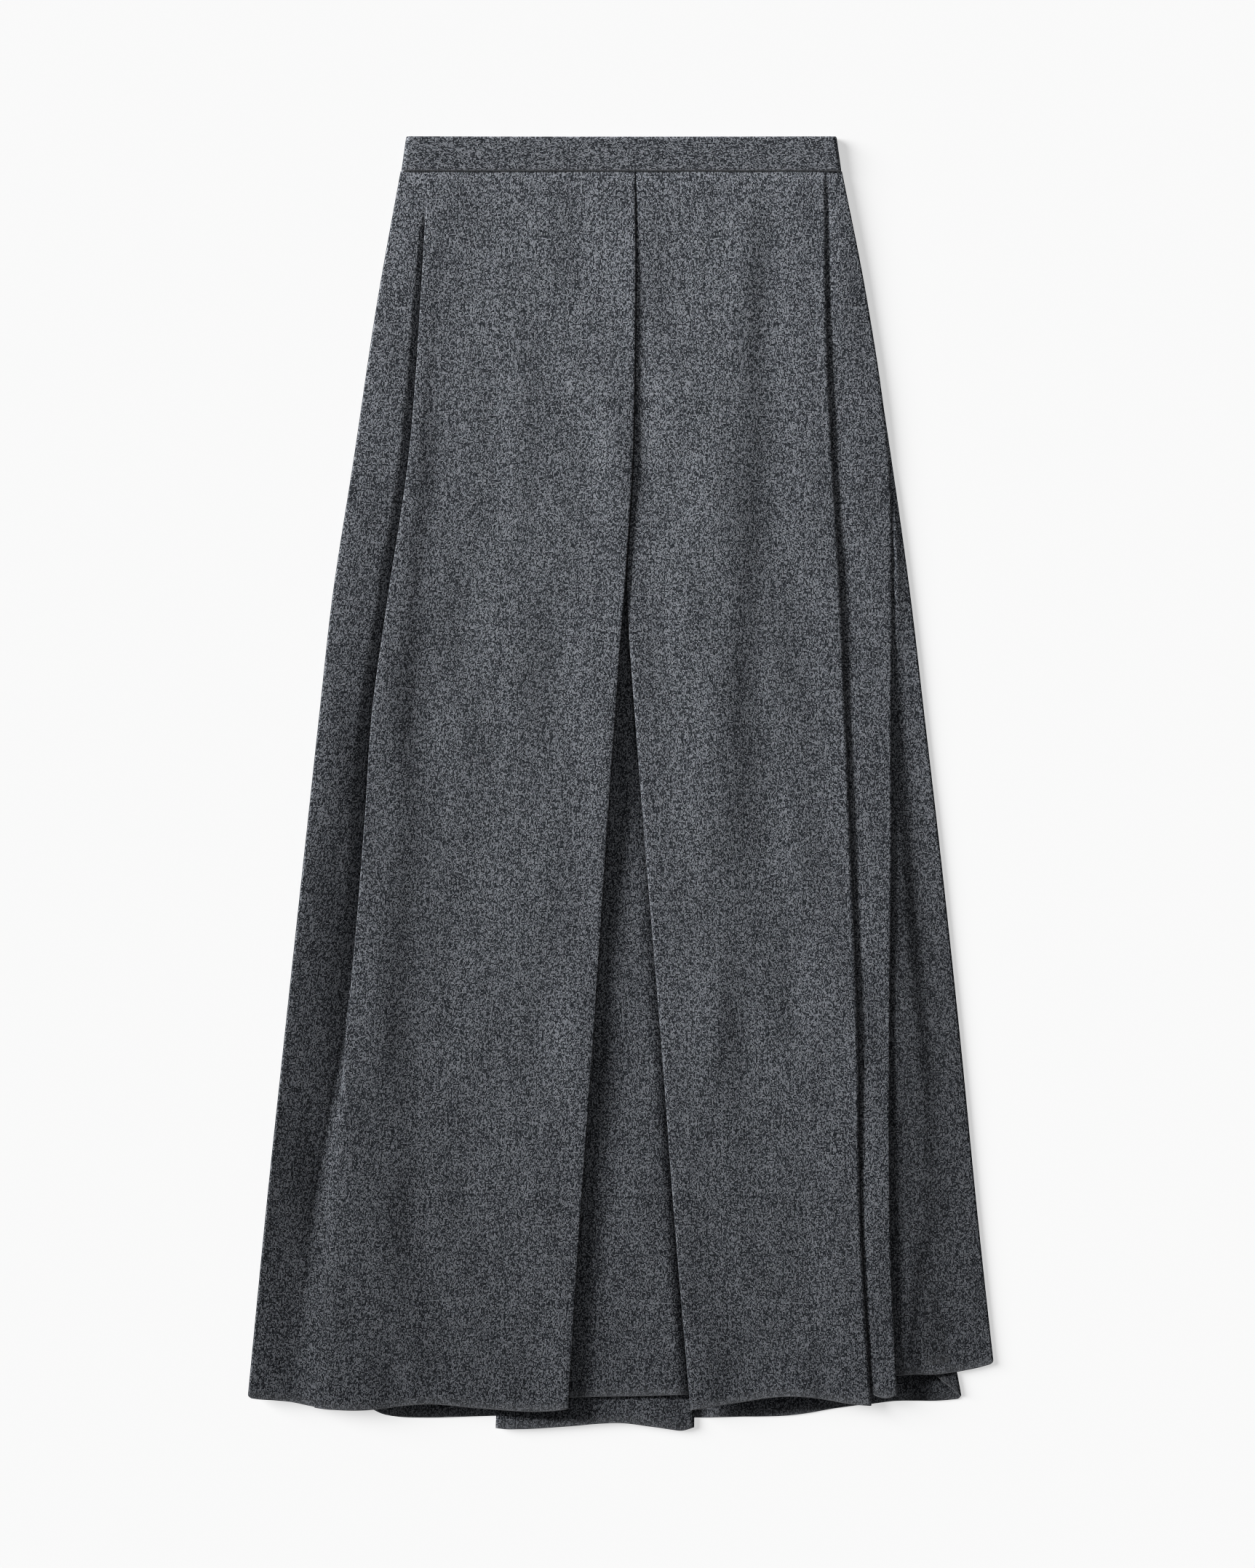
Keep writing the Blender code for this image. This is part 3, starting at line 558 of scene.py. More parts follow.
leftPanel = {
    # the rise to the centre fold: its place and width, between two depths
    "riseDown": (300, 600), "riseAt": (-78, -90), "riseWidth": (22, 26),
    # how far in the centre edge's own lift reaches, between two depths
    "edgeDown": (300, 500), "edgeWidth": (34, 22),
    "waveFrom": (-94, 14), "waveTo": (-74, 8),   # place and width of the wave's two flanks
}
leftSide = {
    "besideFold": 1.5,       # where, right of the fold line, the ridge's height counts
    "openAt": 10,            # a pleat opened this wide lies open
    "letGo": 3,              # its hidden plies have let go of the panel this much sooner
    "leastArcs": 0.2,        # the arcs take at least this share of the drop to the valley
    "pastFold": 0.4, "pastOpening": 1.2,   # how far left of the pleat the side part starts
    "rollShare": 0.05,       # how much its edge rolls wider as it rises
    "hold": 1.7,             # how strongly the waistband holds its crease closed
    # its guides, at shares of its width
    "closePlaces": (0, 0.04, 0.08, 0.13, 0.19), "closeSpacing": 1.2,
    "places": (0.26, 0.35, 0.46, 0.58, 0.7, 0.8),
}


# the front's left piece: the centre return, the panel, the side pleat and the side part
def leftFront():
    fold, opening = partial(lineAt, "foldLeft"), partial(pleatAt, "leftOpening")

    # 0 where the side pleat is folded, 1 where it lies open
    def opened(d):
        return np.clip(opening(d) / leftSide["openAt"], 0, 1)

    # the panel: the ridge beside its pleat, the fall right of it, and the rise to the centre fold
    def panelHeight(x, d):
        ridge, drop = reliefAt("ridge", d), reliefAt("ridgeFall", d)
        beside = fall(x, fold(d) + reliefAt("ridgeFallAt", d), reliefAt("ridgeFallWidth", d))
        towards = fall(x, np.interp(d, leftPanel["riseDown"], leftPanel["riseAt"]),
                       np.interp(d, leftPanel["riseDown"], leftPanel["riseWidth"]))
        edge = bell(x, centreEdge(-1, d), np.interp(d, leftPanel["edgeDown"], leftPanel["edgeWidth"]))
        wave = reliefAt("wave", d) * (fall(x, *leftPanel["waveFrom"]) - fall(x, *leftPanel["waveTo"]))
        return (plyHeight(plies["frontPanel"], d) + ridge - drop * beside + (drop - ridge) * towards
                + wave + reliefAt("edgeLeft", d) * edge)

    # the side part's climb: a curve of the power leftBend, that starts level over valleyFlat
    def sideRise(t, d):
        climb = 1 - (1 - np.clip(t, 0, 1)) ** reliefAt("leftBend", d)
        return reliefAt("leftRise", d) * climb * step(t / np.maximum(reliefAt("valleyFlat", d), 0.01))

    def valley(d):
        return plyHeight(plies["frontSide"], d) + reliefAt("valley", d)

    def drop(d):
        return panelHeight(fold(d) + leftSide["besideFold"], d) - valley(d)

    # two arcs from the crest to the valley: folded flat when the opening is nothing
    def turn(d):
        return np.degrees(2 * np.arctan2(drop(d), opening(d)))

    # the radius with which both arcs and the shortest flank make up the drop
    def radius(d):
        a = np.radians(turn(d))
        arcs = np.maximum(drop(d) - sidePleats["leastFlank"] * np.sin(a), leftSide["leastArcs"] * drop(d))
        return arcs / (2 * (1 - np.cos(a)))

    def crestX(d):
        folded = (lay["ply"] + sidePleats["pressed"] * drop(d) / 2) / 2
        return fold(d) + folded + pleatAt("leftCrest", d)

    def crestZ(d):
        return panelHeight(crestX(d), d)

    # the side part starts left of the fold line and of the opened pleat
    def sideStart(d):
        return np.minimum(fold(d) - leftSide["pastFold"], crestX(d) - opening(d) - leftSide["pastOpening"])

    # the nine guides of the fold share the way from the crest to the side part
    def turnHem(k):
        return hemOf("frontLeft", lambda d: crestX(d) + (sideStart(d) - crestX(d)) * (k + 0.5) / 9)

    def roll(d):
        return front["sideRoll"] + leftSide["rollShare"] * reliefAt("leftRise", d)

    def edgeX(d):
        return lineAt("sideLeft", d) + lay["ply"] / 2 + roll(d)

    # the side part climbs from the valley to the side edge, and out of the crease beside the fold
    def sideHeight(x, d):
        t = (x - sideStart(d)) / (edgeX(d) - sideStart(d))
        out = np.clip((fold(d) - leftSide["pastFold"] - x) / reliefAt("shoulderWidth", d), 0, 1)
        level = 1 - (1 - out) ** 2 * np.clip(1 - leftSide["hold"] * heldByBand(d), 0, 1)
        return valley(d) + sideRise(t, d) + reliefAt("shoulder", d) * level

    made, grain = centrePanel(-1, centrePleat["underlay"][0], panelHeight, crestX, "frontLeft")
    made += foldUnder(crestX, crestZ, -1, 1, radius, turn, partial(pleatAt, "leftOverlap"),
                      lambda d: crestZ(d) - valley(d), turnHem,
                      lambda x, d: (1 - step(opened(d) * leftSide["letGo"])) * panelHeight(x, d))
    sidePart = guidesBetween(sideStart, edgeX, leftSide["closePlaces"], sideHeight, "frontLeft",
                             leftSide["closeSpacing"])
    sidePart += guidesBetween(sideStart, edgeX, leftSide["places"], sideHeight, "frontLeft",
                              front["spacing"])
    sidePart += sideCorner(edgeX, sideHeight, -1, roll, "frontLeft")
    return clothPiece("frontLeftCloth", made + withPaintedLight(sidePart, "leftSidePaintedLight"), front["rows"], grain)


rightPanel = {
    "hiddenMore": 8,                       # the side pleat's stack starts this much further in
    "stackFrom": 6, "stackWidth": 16,      # where the stack's own lift sets in
    "rollFrom": 42, "rollWidth": 24,       # from the centre edge
    "backFrom": -2, "backWidth": 20,       # the rise back to the side pleat
    "edgeWidth": 16,
    "returnShort": 2.5,                    # the hem of the pleat's return above the panel's
}
strip = {
    "lap": 8.0,               # its own pleat ends this far short of the fold line
    "held": 0.9,              # how much of its climb the waistband takes away
    "bend": 1.4,              # how late it falls to its own edge
    # a first guide that stays under the fold, in widths of the groove, with a shorter hem
    "hiddenAt": -0.6, "hiddenShort": 8, "hiddenSpacing": 1.0,
    # its other guides: the distance from the fold in widths of the groove, the share of the way on
    # to its own edge, and the share of its climb
    "places": ((0.08, 0, 0.0), (0.2, 0, 0.25), (0.38, 0, 0.5), (0.64, 0, 0.74), (1.0, 0, 0.9),
               (1.0, 0.3, 1.0), (1.0, 0.65, 1.02), (1.0, 1, 1.0)),
    "closeSpacing": 0.8, "spacing": 1.8,
    "leastDrop": 2.1,         # from its edge to the side part's ply
    "hemStep": 0.8,           # each guide of its fold ends this much higher
}
rightSide = {
    "startLap": 1,           # it starts this much short of the strip's own pleat
    "slantWidth": 5,
    "places": (0.06, 0.13, 0.2, 0.26, 0.32, 0.38, 0.44, 0.5, 0.56, 0.62, 0.7, 0.78, 0.86),
}


# the front's right piece: as the left, with the strip between the side pleat and the side part
def rightFront():
    fold, overlap = partial(lineAt, "foldRight"), partial(pleatAt, "rightOverlap")

    def pleatStart(d):
        return fold(d) - overlap(d) - rightPanel["hiddenMore"]

    # the stack of the side pleat, lifted as one from where its hidden ply begins
    def outer(x, d):
        return reliefAt("outer", d) * fall(x, pleatStart(d) + rightPanel["stackFrom"],
                                           rightPanel["stackWidth"])

    # the panel: a broad roll over the centre pleat, the fall beyond it, and the rise to the side pleat
    def panelHeight(x, d):
        roll, drop = reliefAt("roll", d), reliefAt("rollFall", d)
        start = centreEdge(1, d)
        rolled = roll * fall(x, start + rightPanel["rollFrom"], rightPanel["rollWidth"])
        beyond = fall(x, reliefAt("rollFallAt", d), reliefAt("rollFallWidth", d))
        back = fall(x, pleatStart(d) + rightPanel["backFrom"], rightPanel["backWidth"])
        edge = reliefAt("edgeRight", d) * bell(x, start, rightPanel["edgeWidth"])
        return (plyHeight(plies["frontPanel"], d) + rolled * (1 - back) + edge
                - drop * beyond * (1 - back) + outer(x, d))

    def crestX(d):
        return fold(d) - foldInset(d)

    def crestZ(d):
        return panelHeight(crestX(d), d)

    # the strip's own edge, and how far it turns under there
    def nose(d):
        return lineAt("stripEdge", d) - foldInset(d)

    def stripOverlap(d):
        return nose(d) - fold(d) - strip["lap"]

    def stripX(offset, share):
        return lambda d: (1 - share) * (fold(d) + offset * reliefAt("groove", d)) + share * nose(d)

    # from two plies under the crest up to stripStep under it, then down to its edge
    def stripZ(rise, share):
        def height(d):
            tucked = 2 * plyPitch(d) * (1 - rise) * (1 - strip["held"] * heldByBand(d))
            down = tucked + rise * reliefAt("stripStep", d)
            return crestZ(d) - down - share ** strip["bend"] * reliefAt("stripFall", d)
        return height

    def underStrip(d):
        return np.minimum(crestZ(d) - 2 * plyPitch(d), stripZ(1, 1)(d) - strip["leastDrop"])

    def stripDrop(d):
        return stripZ(1, 1)(d) - underStrip(d)

    def sideStart(d):
        return nose(d) - stripOverlap(d) + rightSide["startLap"]

    def edgeX(d):
        return lineAt("sideRight", d) - lay["ply"] / 2 - front["sideRoll"]

    # the side part rises out of the crease beside the strip, falls to the side edge as its share of
    # the way to the power rightBend, and steps down at the slanting fold
    def sideHeight(x, d):
        past = np.clip((x - nose(d)) / np.maximum(edgeX(d) - nose(d), 1), 0, 1)
        out = np.clip((x - nose(d)) / reliefAt("rightShoulderWidth", d), 0, 1)
        raised = underStrip(d) + reliefAt("rightShoulder", d) * (1 - (1 - out) ** 2)
        low = np.minimum(reliefAt("rightEdge", d), raised)
        slant = past - fall(x, reliefAt("slantAt", d), rightSide["slantWidth"])
        return raised + (low - raised) * past ** reliefAt("rightBend", d) + reliefAt("slantFall", d) * slant

    made, grain = centrePanel(1, centrePleat["underlay"][1], panelHeight, crestX, "frontRight")
    foldHem = hemOf("frontRight", crestX)
    returnHem = hemOf("frontRight", lambda d: crestX(d) - overlap(d)) - rightPanel["returnShort"]
    # the first three guides of the fold end with the panel, the others with the return
    made += foldUnder(crestX, crestZ, 1, 1, lambda d: plyPitch(d) / 2, foldedFlat, overlap,
                      lambda d: 2 * plyPitch(d), lambda k: foldHem if k < 3 else returnHem, panelHeight)
    made[-1]["spacing"] = front["hiddenSpacing"]

    # the strip climbs out from under the fold, and turns under again at its own edge
    stripPart = [guide(stripX(strip["hiddenAt"], 0), stripZ(0, 0), foldHem - strip["hiddenShort"],
                       strip["hiddenSpacing"])]
    for offset, share, rise in strip["places"]:
        x = stripX(offset, share)
        spacing = strip["spacing"] if share else strip["closeSpacing"]
        stripPart.append(guide(x, stripZ(rise, share), hemOf("frontStrip", x), spacing))
    stripPart[-1]["spacing"] = lay["foldSpacing"]
    endHem = hemOf("frontStrip", nose)
    stripPart += foldUnder(nose, stripZ(1, 1), 1, 1, lambda d: stripDrop(d) / 4, foldedFlat,
                           stripOverlap, stripDrop, lambda k: endHem - strip["hemStep"] * k)
    sidePart = guidesBetween(sideStart, edgeX, rightSide["places"], sideHeight, "frontSideRight",
                             front["spacing"])
    sidePart += sideCorner(edgeX, sideHeight, 1, steady(front["sideRoll"]), "frontSideRight")
    made += withPaintedLight(stripPart, "stripPaintedLight") + withPaintedLight(sidePart, "rightSidePaintedLight")
    return clothPiece("frontRightCloth", made, front["rows"], grain)


frontLeft = leftFront()
frontRight = rightFront()


frontUnder = {
    "guides": 87, "spacing": 2.0, "rows": 150, "grain": 43,
    "leanFrom": 1, "leanWidth": 26,      # right of the left fold
    "tucked": 0.35,                      # how much of the height there is left under the fold
    "tuckFrom": -10, "tuckWidth": 11,
    "creaseFrom": 1,                     # right of the right fold
}


# the front underlay leans down from the left fold and drops into the crease at the right fold,
# both by the square of what is left of the way
def lean(x, d):
    left, right = centreEdge(-1, d), centreEdge(1, d)
    across = 1 - (1 - np.clip((x - left - frontUnder["leanFrom"]) / frontUnder["leanWidth"], 0, 1)) ** 2
    shown = step((x - left - frontUnder["tuckFrom"]) / frontUnder["tuckWidth"])
    under = frontUnder["tucked"] + (1 - frontUnder["tucked"]) * shown
    drop = np.clip((right + frontUnder["creaseFrom"] - x) / reliefAt("creaseWidth", d), 0, 1)
    level = reliefAt("underLeft", d) * under * (1 - across) + reliefAt("underMiddle", d) * across
    return level - reliefAt("creaseDepth", d) * (1 - drop) ** 2


backPleat = {
    # where the pleat's folds and its underlay's sewn edges lie, left and right
    "underlayWaist": (-55.0, 75.0), "underlayHem": (-99.8, 58.6),
    "waist": (9.0, 11.0), "hem": (-45.0, 5.0),
    "guides": 18, "spacing": 3.0, "rows": 150, "grain": 9,
    # how deep the underlay sinks into the pleat's mouth: there, and how wide and long
    "mouthDepth": 2.2, "mouthAt": (3, 395), "mouthWidth": 28, "mouthLength": 110,
    # and under the crease of the front's: right of its fold, how wide, and from which depth on
    "creaseDepth": 1.3, "creaseAt": 2, "creaseWidth": 14, "creaseFrom": 420, "creaseOver": 80,
}


# the back underlay sinks into the mouth of its own pleat, and under the crease of the front's
def mouth(x, d):
    crease = (bell(x, centreEdge(1, d) + backPleat["creaseAt"], backPleat["creaseWidth"])
              * step((d - backPleat["creaseFrom"]) / backPleat["creaseOver"]))
    (across, down), width, length = backPleat["mouthAt"], backPleat["mouthWidth"], backPleat["mouthLength"]
    return (-backPleat["mouthDepth"] * bell(x, across, width) * bell(d, down, length)
            - backPleat["creaseDepth"] * crease)


# an edge of the back pleat: a straight line from its place at the waist to its place at the hem
def straightEdge(which, start="underlayWaist", end="underlayHem"):
    waist, hem = backPleat[start][which], backPleat[end][which]
    return lambda d: waist + (hem - waist) * d / lay["reach"]


# a strip between two edges on its ply's level, sunk or lifted as told
def underlay(name, edges, sizes, swell, paintedLight):
    made = guidesBetween(*edges, np.linspace(0, 1, sizes["guides"]),
                         lambda x, d: plyHeight(plies[name], d) + swell(x, d), name, sizes["spacing"])
    return clothPiece(name + "Cloth", withPaintedLight(made, paintedLight), sizes["rows"], sizes["grain"])


frontUnderlay = underlay("frontUnderlay", [steady(x) for x in centrePleat["underlay"]], frontUnder, lean,
                         "underlayPaintedLight")
backUnderlay = underlay("backUnderlay", [straightEdge(0), straightEdge(1)], backPleat, mouth, "panelPaintedLight")


back = {
    "rows": 150,
    "spacing": 4.5,
    "hiddenSpacing": 12.0,
    "foldSpacing": 0.6,
    "panelGuides": 16,
    "grain": 12,
    "returnShort": 3,        # the hem of the centre return above the underlay's
    # the last guides before the side fold, and what is added to their and the fold's distance where
    # the hem's corner is rounded
    "cornerPlaces": (3.0, 1.8, 0.8, 0), "cornerMore": 0.8, "foldMore": 0.6,
    "hemStep": 0.3,          # each guide of the side fold's first arc ends this much higher
    "sideLap": 4,            # the side part starts this much short of the pleat's overlap
    "sideInset": 1.6,        # its edge lies a wall and this much inside the side line
    # the side part comes down from its ply to the surface: shares of its width and of the height
    "sidePlaces": ((0, 1.0), (0.35, 0.85), (0.5, 0.6), (0.7, 0.3)),
    "edgeSpacing": 1.0,
}


# a back piece: the centre return, the panel on the surface, and above it the side pleat's return and
# the side part, which takes a row of painted light and shade of its own
def backPiece(outward, which, word, cornerPaintedLight):
    returned, panel, side = (partial(plyHeight, plies[k]) for k in ("backReturn", "backPanel", "backSide"))
    sewnEdge, pleatEdge = straightEdge(which), straightEdge(which, "waist", "hem")
    overlap = partial(pleatAt, "backOverlap")

    def centreStart(d):
        return pleatEdge(d) + outward * (lay["ply"] + plyPitch(d)) / 2

    def foldStart(d):
        return lineAt("backFold" + word, d) - outward * (lay["ply"] + plyPitch(d)) / 2

    def sideStart(d):
        return foldStart(d) - outward * (overlap(d) - back["sideLap"])

    def sideEnd(d):
        return lineAt("side" + word, d) - outward * (lay["ply"] + back["sideInset"])

    panelHem, sideHem, near = "back" + word, "backSide" + word, back["foldSpacing"]
    edgeHem, innerHem = hemOf(panelHem, centreStart), hemOf(sideHem, sideStart)
    foldHem = hemOf(panelHem, foldStart) - cornerCut(back["foldMore"])
    returnHem = hemOf("backUnderlay", sewnEdge) - back["returnShort"]
    made = [guide(sewnEdge, returned, returnHem, back["hiddenSpacing"]),
            guide(centreStart, returned, edgeHem, near)]
    made += turnBack(centreStart, returned, panel, outward, edgeHem, near)
    made += guidesBetween(centreStart, foldStart, np.linspace(0, 1, back["panelGuides"])[:-1],
                          lambda x, d: panel(d), panelHem, back["spacing"])
    made, cornerFirst = withPaintedLight(made, "back" + word + "PaintedLight"), len(made) - 2
    for inward in back["cornerPlaces"]:
        x = (lambda d, s=inward: foldStart(d) - outward * s)
        made.append(guide(x, panel, hemOf(panelHem, x) - cornerCut(inward + back["cornerMore"]), near))
    made += foldUnder(foldStart, panel, outward, -1, lambda d: plyPitch(d) / 2, foldedFlat, overlap,
                      lambda d: 2 * plyPitch(d),
                      lambda k: foldHem - back["hemStep"] * k if k < 4 else innerHem, spacing=near)
    for share, lift in back["sidePlaces"]:
        made += guidesBetween(sideStart, sideEnd, (share,), lambda x, d, f=lift: f * side(d), sideHem,
                              back["spacing"])
    made.append(guide(sideEnd, steady(lay["ply"] / 2 + lay["rim"]), hemOf(sideHem, sideEnd),
                      back["edgeSpacing"]))
    made = made[:cornerFirst] + withPaintedLight(made[cornerFirst:], cornerPaintedLight)
    return clothPiece("back" + word + "Cloth", made, back["rows"], back["grain"])


backLeft = backPiece(-1, 0, "Left", "backLeftPaintedLight")
backRight = backPiece(1, 1, "Right", "backCornerPaintedLight")


band = {
    "ply": 3.0,
    "roll": 2.0,             # how far its ends roll in
    "crown": 0.35,           # how much its top edge arches
    "taper": 4.0,            # how much narrower it is at the top, on each side
    "rows": 26, "columns": 220,
    "turns": (0, 0, 18, 36, 54, 72, 90),   # degrees of the rolled ends
    "lip": 0.3,              # the very end stands this much off the other half
    "closeRows": (0, 0.006, 0.02),         # shares of its depth, at both long edges
    "rowsFrom": 0.05,
}


# half of the band: flat, its ends rolled towards the other half, its long edges folded round
def bandHalf(name, node, upper):
    low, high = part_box(node)
    left, right, bottom, top = (v / mm for v in (low.x, high.x, low.y, high.y))
    half = band["ply"] / 2
    middle = (high.z if upper else low.z) / mm + (-half if upper else half)
    endHeight = (low.z if upper else high.z) / mm
    turns, close = np.radians(band["turns"]), np.array(band["closeRows"])
    even = np.linspace(band["rowsFrom"], 1 - band["rowsFrom"], band["rows"])
    rows = []
    for share in np.concatenate((close, even, 1 - close[::-1])):
        start = left + band["taper"] * share + half + band["roll"]
        end = right - band["taper"] * share - half - band["roll"]
        flat = np.linspace(start, end, band["columns"])[1:-1]
        ends = band["roll"] * np.cos(turns)
        heights = endHeight + (middle - endHeight) * np.sin(turns)
        heights[1] += band["lip"] * np.sign(middle - endHeight)
        x = np.concatenate((start - ends, flat, (end + ends)[::-1]))
        z = np.concatenate((heights, np.full(len(flat), middle), heights[::-1]))
        crown = band["crown"] * np.sin(np.pi * (x - left) / (right - left))
        y = bottom + share * (top - bottom - crown)
        rows.append(np.stack((x, y, z), 1))
    points = np.array(rows)[::-1]
    piece = wallMesh(name, points, band["ply"], points.shape[1] // 2, np.ones(points.shape[:2]))
    print(name, "triangles", 4 * points.shape[0] * points.shape[1])
    return piece


bandFront = bandHalf("waistbandFrontCloth", "waistband_front", True)
bandBack = bandHalf("waistbandBackCloth", "waistband_back", False)


wool = {
    "dark": (0.0155, 0.018, 0.023), "deep": (0.049, 0.054, 0.065), "body": (0.086, 0.094, 0.109),
    "light": (0.162, 0.174, 0.196), "fleck": (0.295, 0.31, 0.34),
    "stops": (0.30, 0.52, 0.75),   # where deep, body and light lie between dark and fleck
    # painted shade on the steep edges of folds, mixed in where the cloth turns steeply down
    "pressed": (0.023, 0.026, 0.031),
    # a painted highlight along the hems
    "paintedHemHighlight": (0.33, 0.34, 0.36),
    "roughness": 0.95, "specular": 0.18, "sheen": 0.12, "sheenRoughness": 0.5,
    "strokeSize": 1400.0,        # strokes of the brushed twill, per metre
    "crossings": (1400, 1050),   # crossings of the yarns, across and down, per metre
    "yarnSize": 800.0,           # yarns side by side, per metre
    "streakLength": 75.0,        # how seldom a yarn changes shade along itself, per metre
    "mottle": 60.0,
    # how much each pattern counts, and how many degrees it is turned from the grain
    "amounts": {"strokes": 0.6, "crossed": 1.7, "warp": 0.8, "weft": 0.4, "mottle": 0.2},
    "turned": {"strokes": -24, "crossed": 3, "warp": 2.5, "weft": -3.5, "mottle": 0},
    "squeeze": (1.0, 0.6, 1),    # strokes and mottle are longer down the cloth
    "cut": 0.3713,
    "bump": 0.45, "bumpHeight": 0.0003,
    "waistband": 0.84,           # its colours, as a share of the rest: painted shade, the same wool made darker
}


# a node's inputs, each linked to the output given or set to the value given
def fill(tree, made, inputs):
    for socket, value in inputs.items():
        if isinstance(value, bpy.types.NodeSocket):
            tree.links.new(value, made.inputs[socket])
        else:
            made.inputs[socket].default_value = value


def newNode(tree, kind, inputs, **settings):
    made = tree.nodes.new("ShaderNode" + kind)
    for word, value in settings.items():
        setattr(made, word, value)
    fill(tree, made, inputs)
    return made


# the cloth's own place, turned by degrees and stretched
def mapped(tree, vector, turn, stretch=(1, 1, 1), height=0.0):
    moved = newNode(tree, "Mapping", {"Vector": vector, "Location": (0, 0, height),
                                      "Rotation": (0, 0, np.radians(turn)), "Scale": stretch})
    return moved.outputs["Vector"]


# a noise pattern, cut at a height away from its own grid
def noise(tree, vector, scale, detail, rough, turn, stretch):
    made = newNode(tree, "TexNoise", {"Scale": scale, "Detail": detail, "Roughness": rough,
                                      "Vector": mapped(tree, vector, turn, stretch, wool["cut"])})
    return made.outputs["Fac"]


# a chance value for every crossing of the yarns
def crossings(tree, vector, turn, counts):
    whole = newNode(tree, "VectorMath", {0: mapped(tree, vector, turn, (*counts, 1))}, operation="FLOOR")
    made = newNode(tree, "TexWhiteNoise", {"Vector": whole.outputs["Vector"]}, noise_dimensions="2D")
    return made.outputs["Value"]


# value + amount * (pattern - 0.5)
def add(tree, value, pattern, amount):
    if isinstance(value, float):
        base = value - 0.5 * amount
    else:
        base = newNode(tree, "Math", {0: value, 1: 0.5 * amount}, operation="SUBTRACT").outputs[0]
    return newNode(tree, "Math", {0: pattern, 1: amount, 2: base}, operation="MULTIPLY_ADD").outputs[0]


def attribute(tree, name):
    return newNode(tree, "Attribute", {}, attribute_name=name).outputs["Fac"]


# another colour mixed in as far as one of the cloth's own attributes says
def mixedIn(tree, color, name, other):
    made = newNode(tree, "Mix", {"Factor": attribute(tree, name), "A": color, "B": (*other, 1)},
                   data_type="RGBA")
    return made.outputs["Result"]


# melange wool: the patterns' sum picks a colour; a painted highlight along the hems, painted shade on steep
# fold edges and the painted light and shade of each stretch then change it
def woolMaterial(name, turn=0.0, shade=1.0):
    material = bpy.data.materials.new(name)
    material.use_nodes = True
    tree = material.node_tree
    weave = newNode(tree, "UVMap", {}, uv_map="weave").outputs["UV"]
    vector = mapped(tree, weave, turn)
    turned, squeeze = wool["turned"], wool["squeeze"]
    yarn, streak = wool["yarnSize"], wool["streakLength"]
    patterns = {
        "strokes": noise(tree, vector, wool["strokeSize"], 2.0, 0.6, turned["strokes"], squeeze),
        "crossed": crossings(tree, vector, turned["crossed"], wool["crossings"]),
        "warp": noise(tree, vector, 1.0, 1.0, 0.5, turned["warp"], (yarn, streak, 1)),
        "weft": noise(tree, vector, 1.0, 1.0, 0.5, turned["weft"], (streak, yarn, 1)),
        "mottle": noise(tree, vector, wool["mottle"], 3.0, 0.6, turned["mottle"], squeeze),
    }
    value = 0.5
    for word, pattern in patterns.items():
        value = add(tree, value, pattern, wool["amounts"][word])
    ramp = newNode(tree, "ValToRGB", {"Fac": value})
    stops = ramp.color_ramp.elements
    stops[0].position, stops[1].position = 0.0, 1.0
    for place in wool["stops"]:
        stops.new(place)
    for element, word in zip(stops, ("dark", "deep", "body", "light", "fleck")):
        element.color = (*(shade * v for v in wool[word]), 1)
    # a painted highlight along the hems, then painted shade on the steep edges of folds
    color = mixedIn(tree, ramp.outputs["Color"], "hemEdge", wool["paintedHemHighlight"])
    color = mixedIn(tree, color, "foldEdge", wool["pressed"])
    # the painted light and shade of each stretch scales the colour
    painted = newNode(tree, "VectorMath", {0: color, "Scale": attribute(tree, "paintedLight")}, operation="SCALE")
    bump = newNode(tree, "Bump", {"Height": value, "Strength": wool["bump"], "Distance": wool["bumpHeight"]})
    fill(tree, tree.nodes["Principled BSDF"], {
        "Base Color": painted.outputs["Vector"], "Normal": bump.outputs["Normal"],
        "Roughness": wool["roughness"], "Specular IOR Level": wool["specular"],
        "Sheen Weight": wool["sheen"], "Sheen Roughness": wool["sheenRoughness"]})
    return material


clothWool = woolMaterial("greyWool")
bandWool = woolMaterial("waistbandWool", 90, wool["waistband"])
for piece in (frontLeft, frontRight, frontUnderlay, backLeft, backRight, backUnderlay):
    piece.data.materials.append(clothWool)
for piece in (bandFront, bandBack):
    piece.data.materials.append(bandWool)
print("wool made")


cuts = [
    (frontLeft, "front_left", "wool", (0.42, 0.99), 0.36, "back_left"),
    (frontRight, "front_right", "wool", (0.46, 0.99), 0.40, "back_right"),
    (frontUnderlay, "front_pleat_underlay", "wool", (0.172, 0.977), 0.168, "back_pleat_underlay"),
    (backLeft, "back_left", "wool", (0.42, 0.995), 0.34, "floor"),
    (backRight, "back_right", "wool", (0.42, 0.995), 0.35, "floor"),
    (backUnderlay, "back_pleat_underlay", "wool", (0.16, 1.004), 0.144, "back_left"),
    (bandFront, "waistband_front", "waistband_wool", (0.352, 0.0282), None, "waistband_back"),
    (bandBack, "waistband_back", "waistband_wool", (0.352, 0.0282), None, "floor"),
]
for piece, node, slot, flat, area, restsOn in cuts:
    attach(piece, "root")
    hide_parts(node)


stageSizes = {"floor": 12.0, "drop": 0.0004, "shade": 0.42, "glow": 0.565, "sky": 0.08, "backdrop": 0.96}


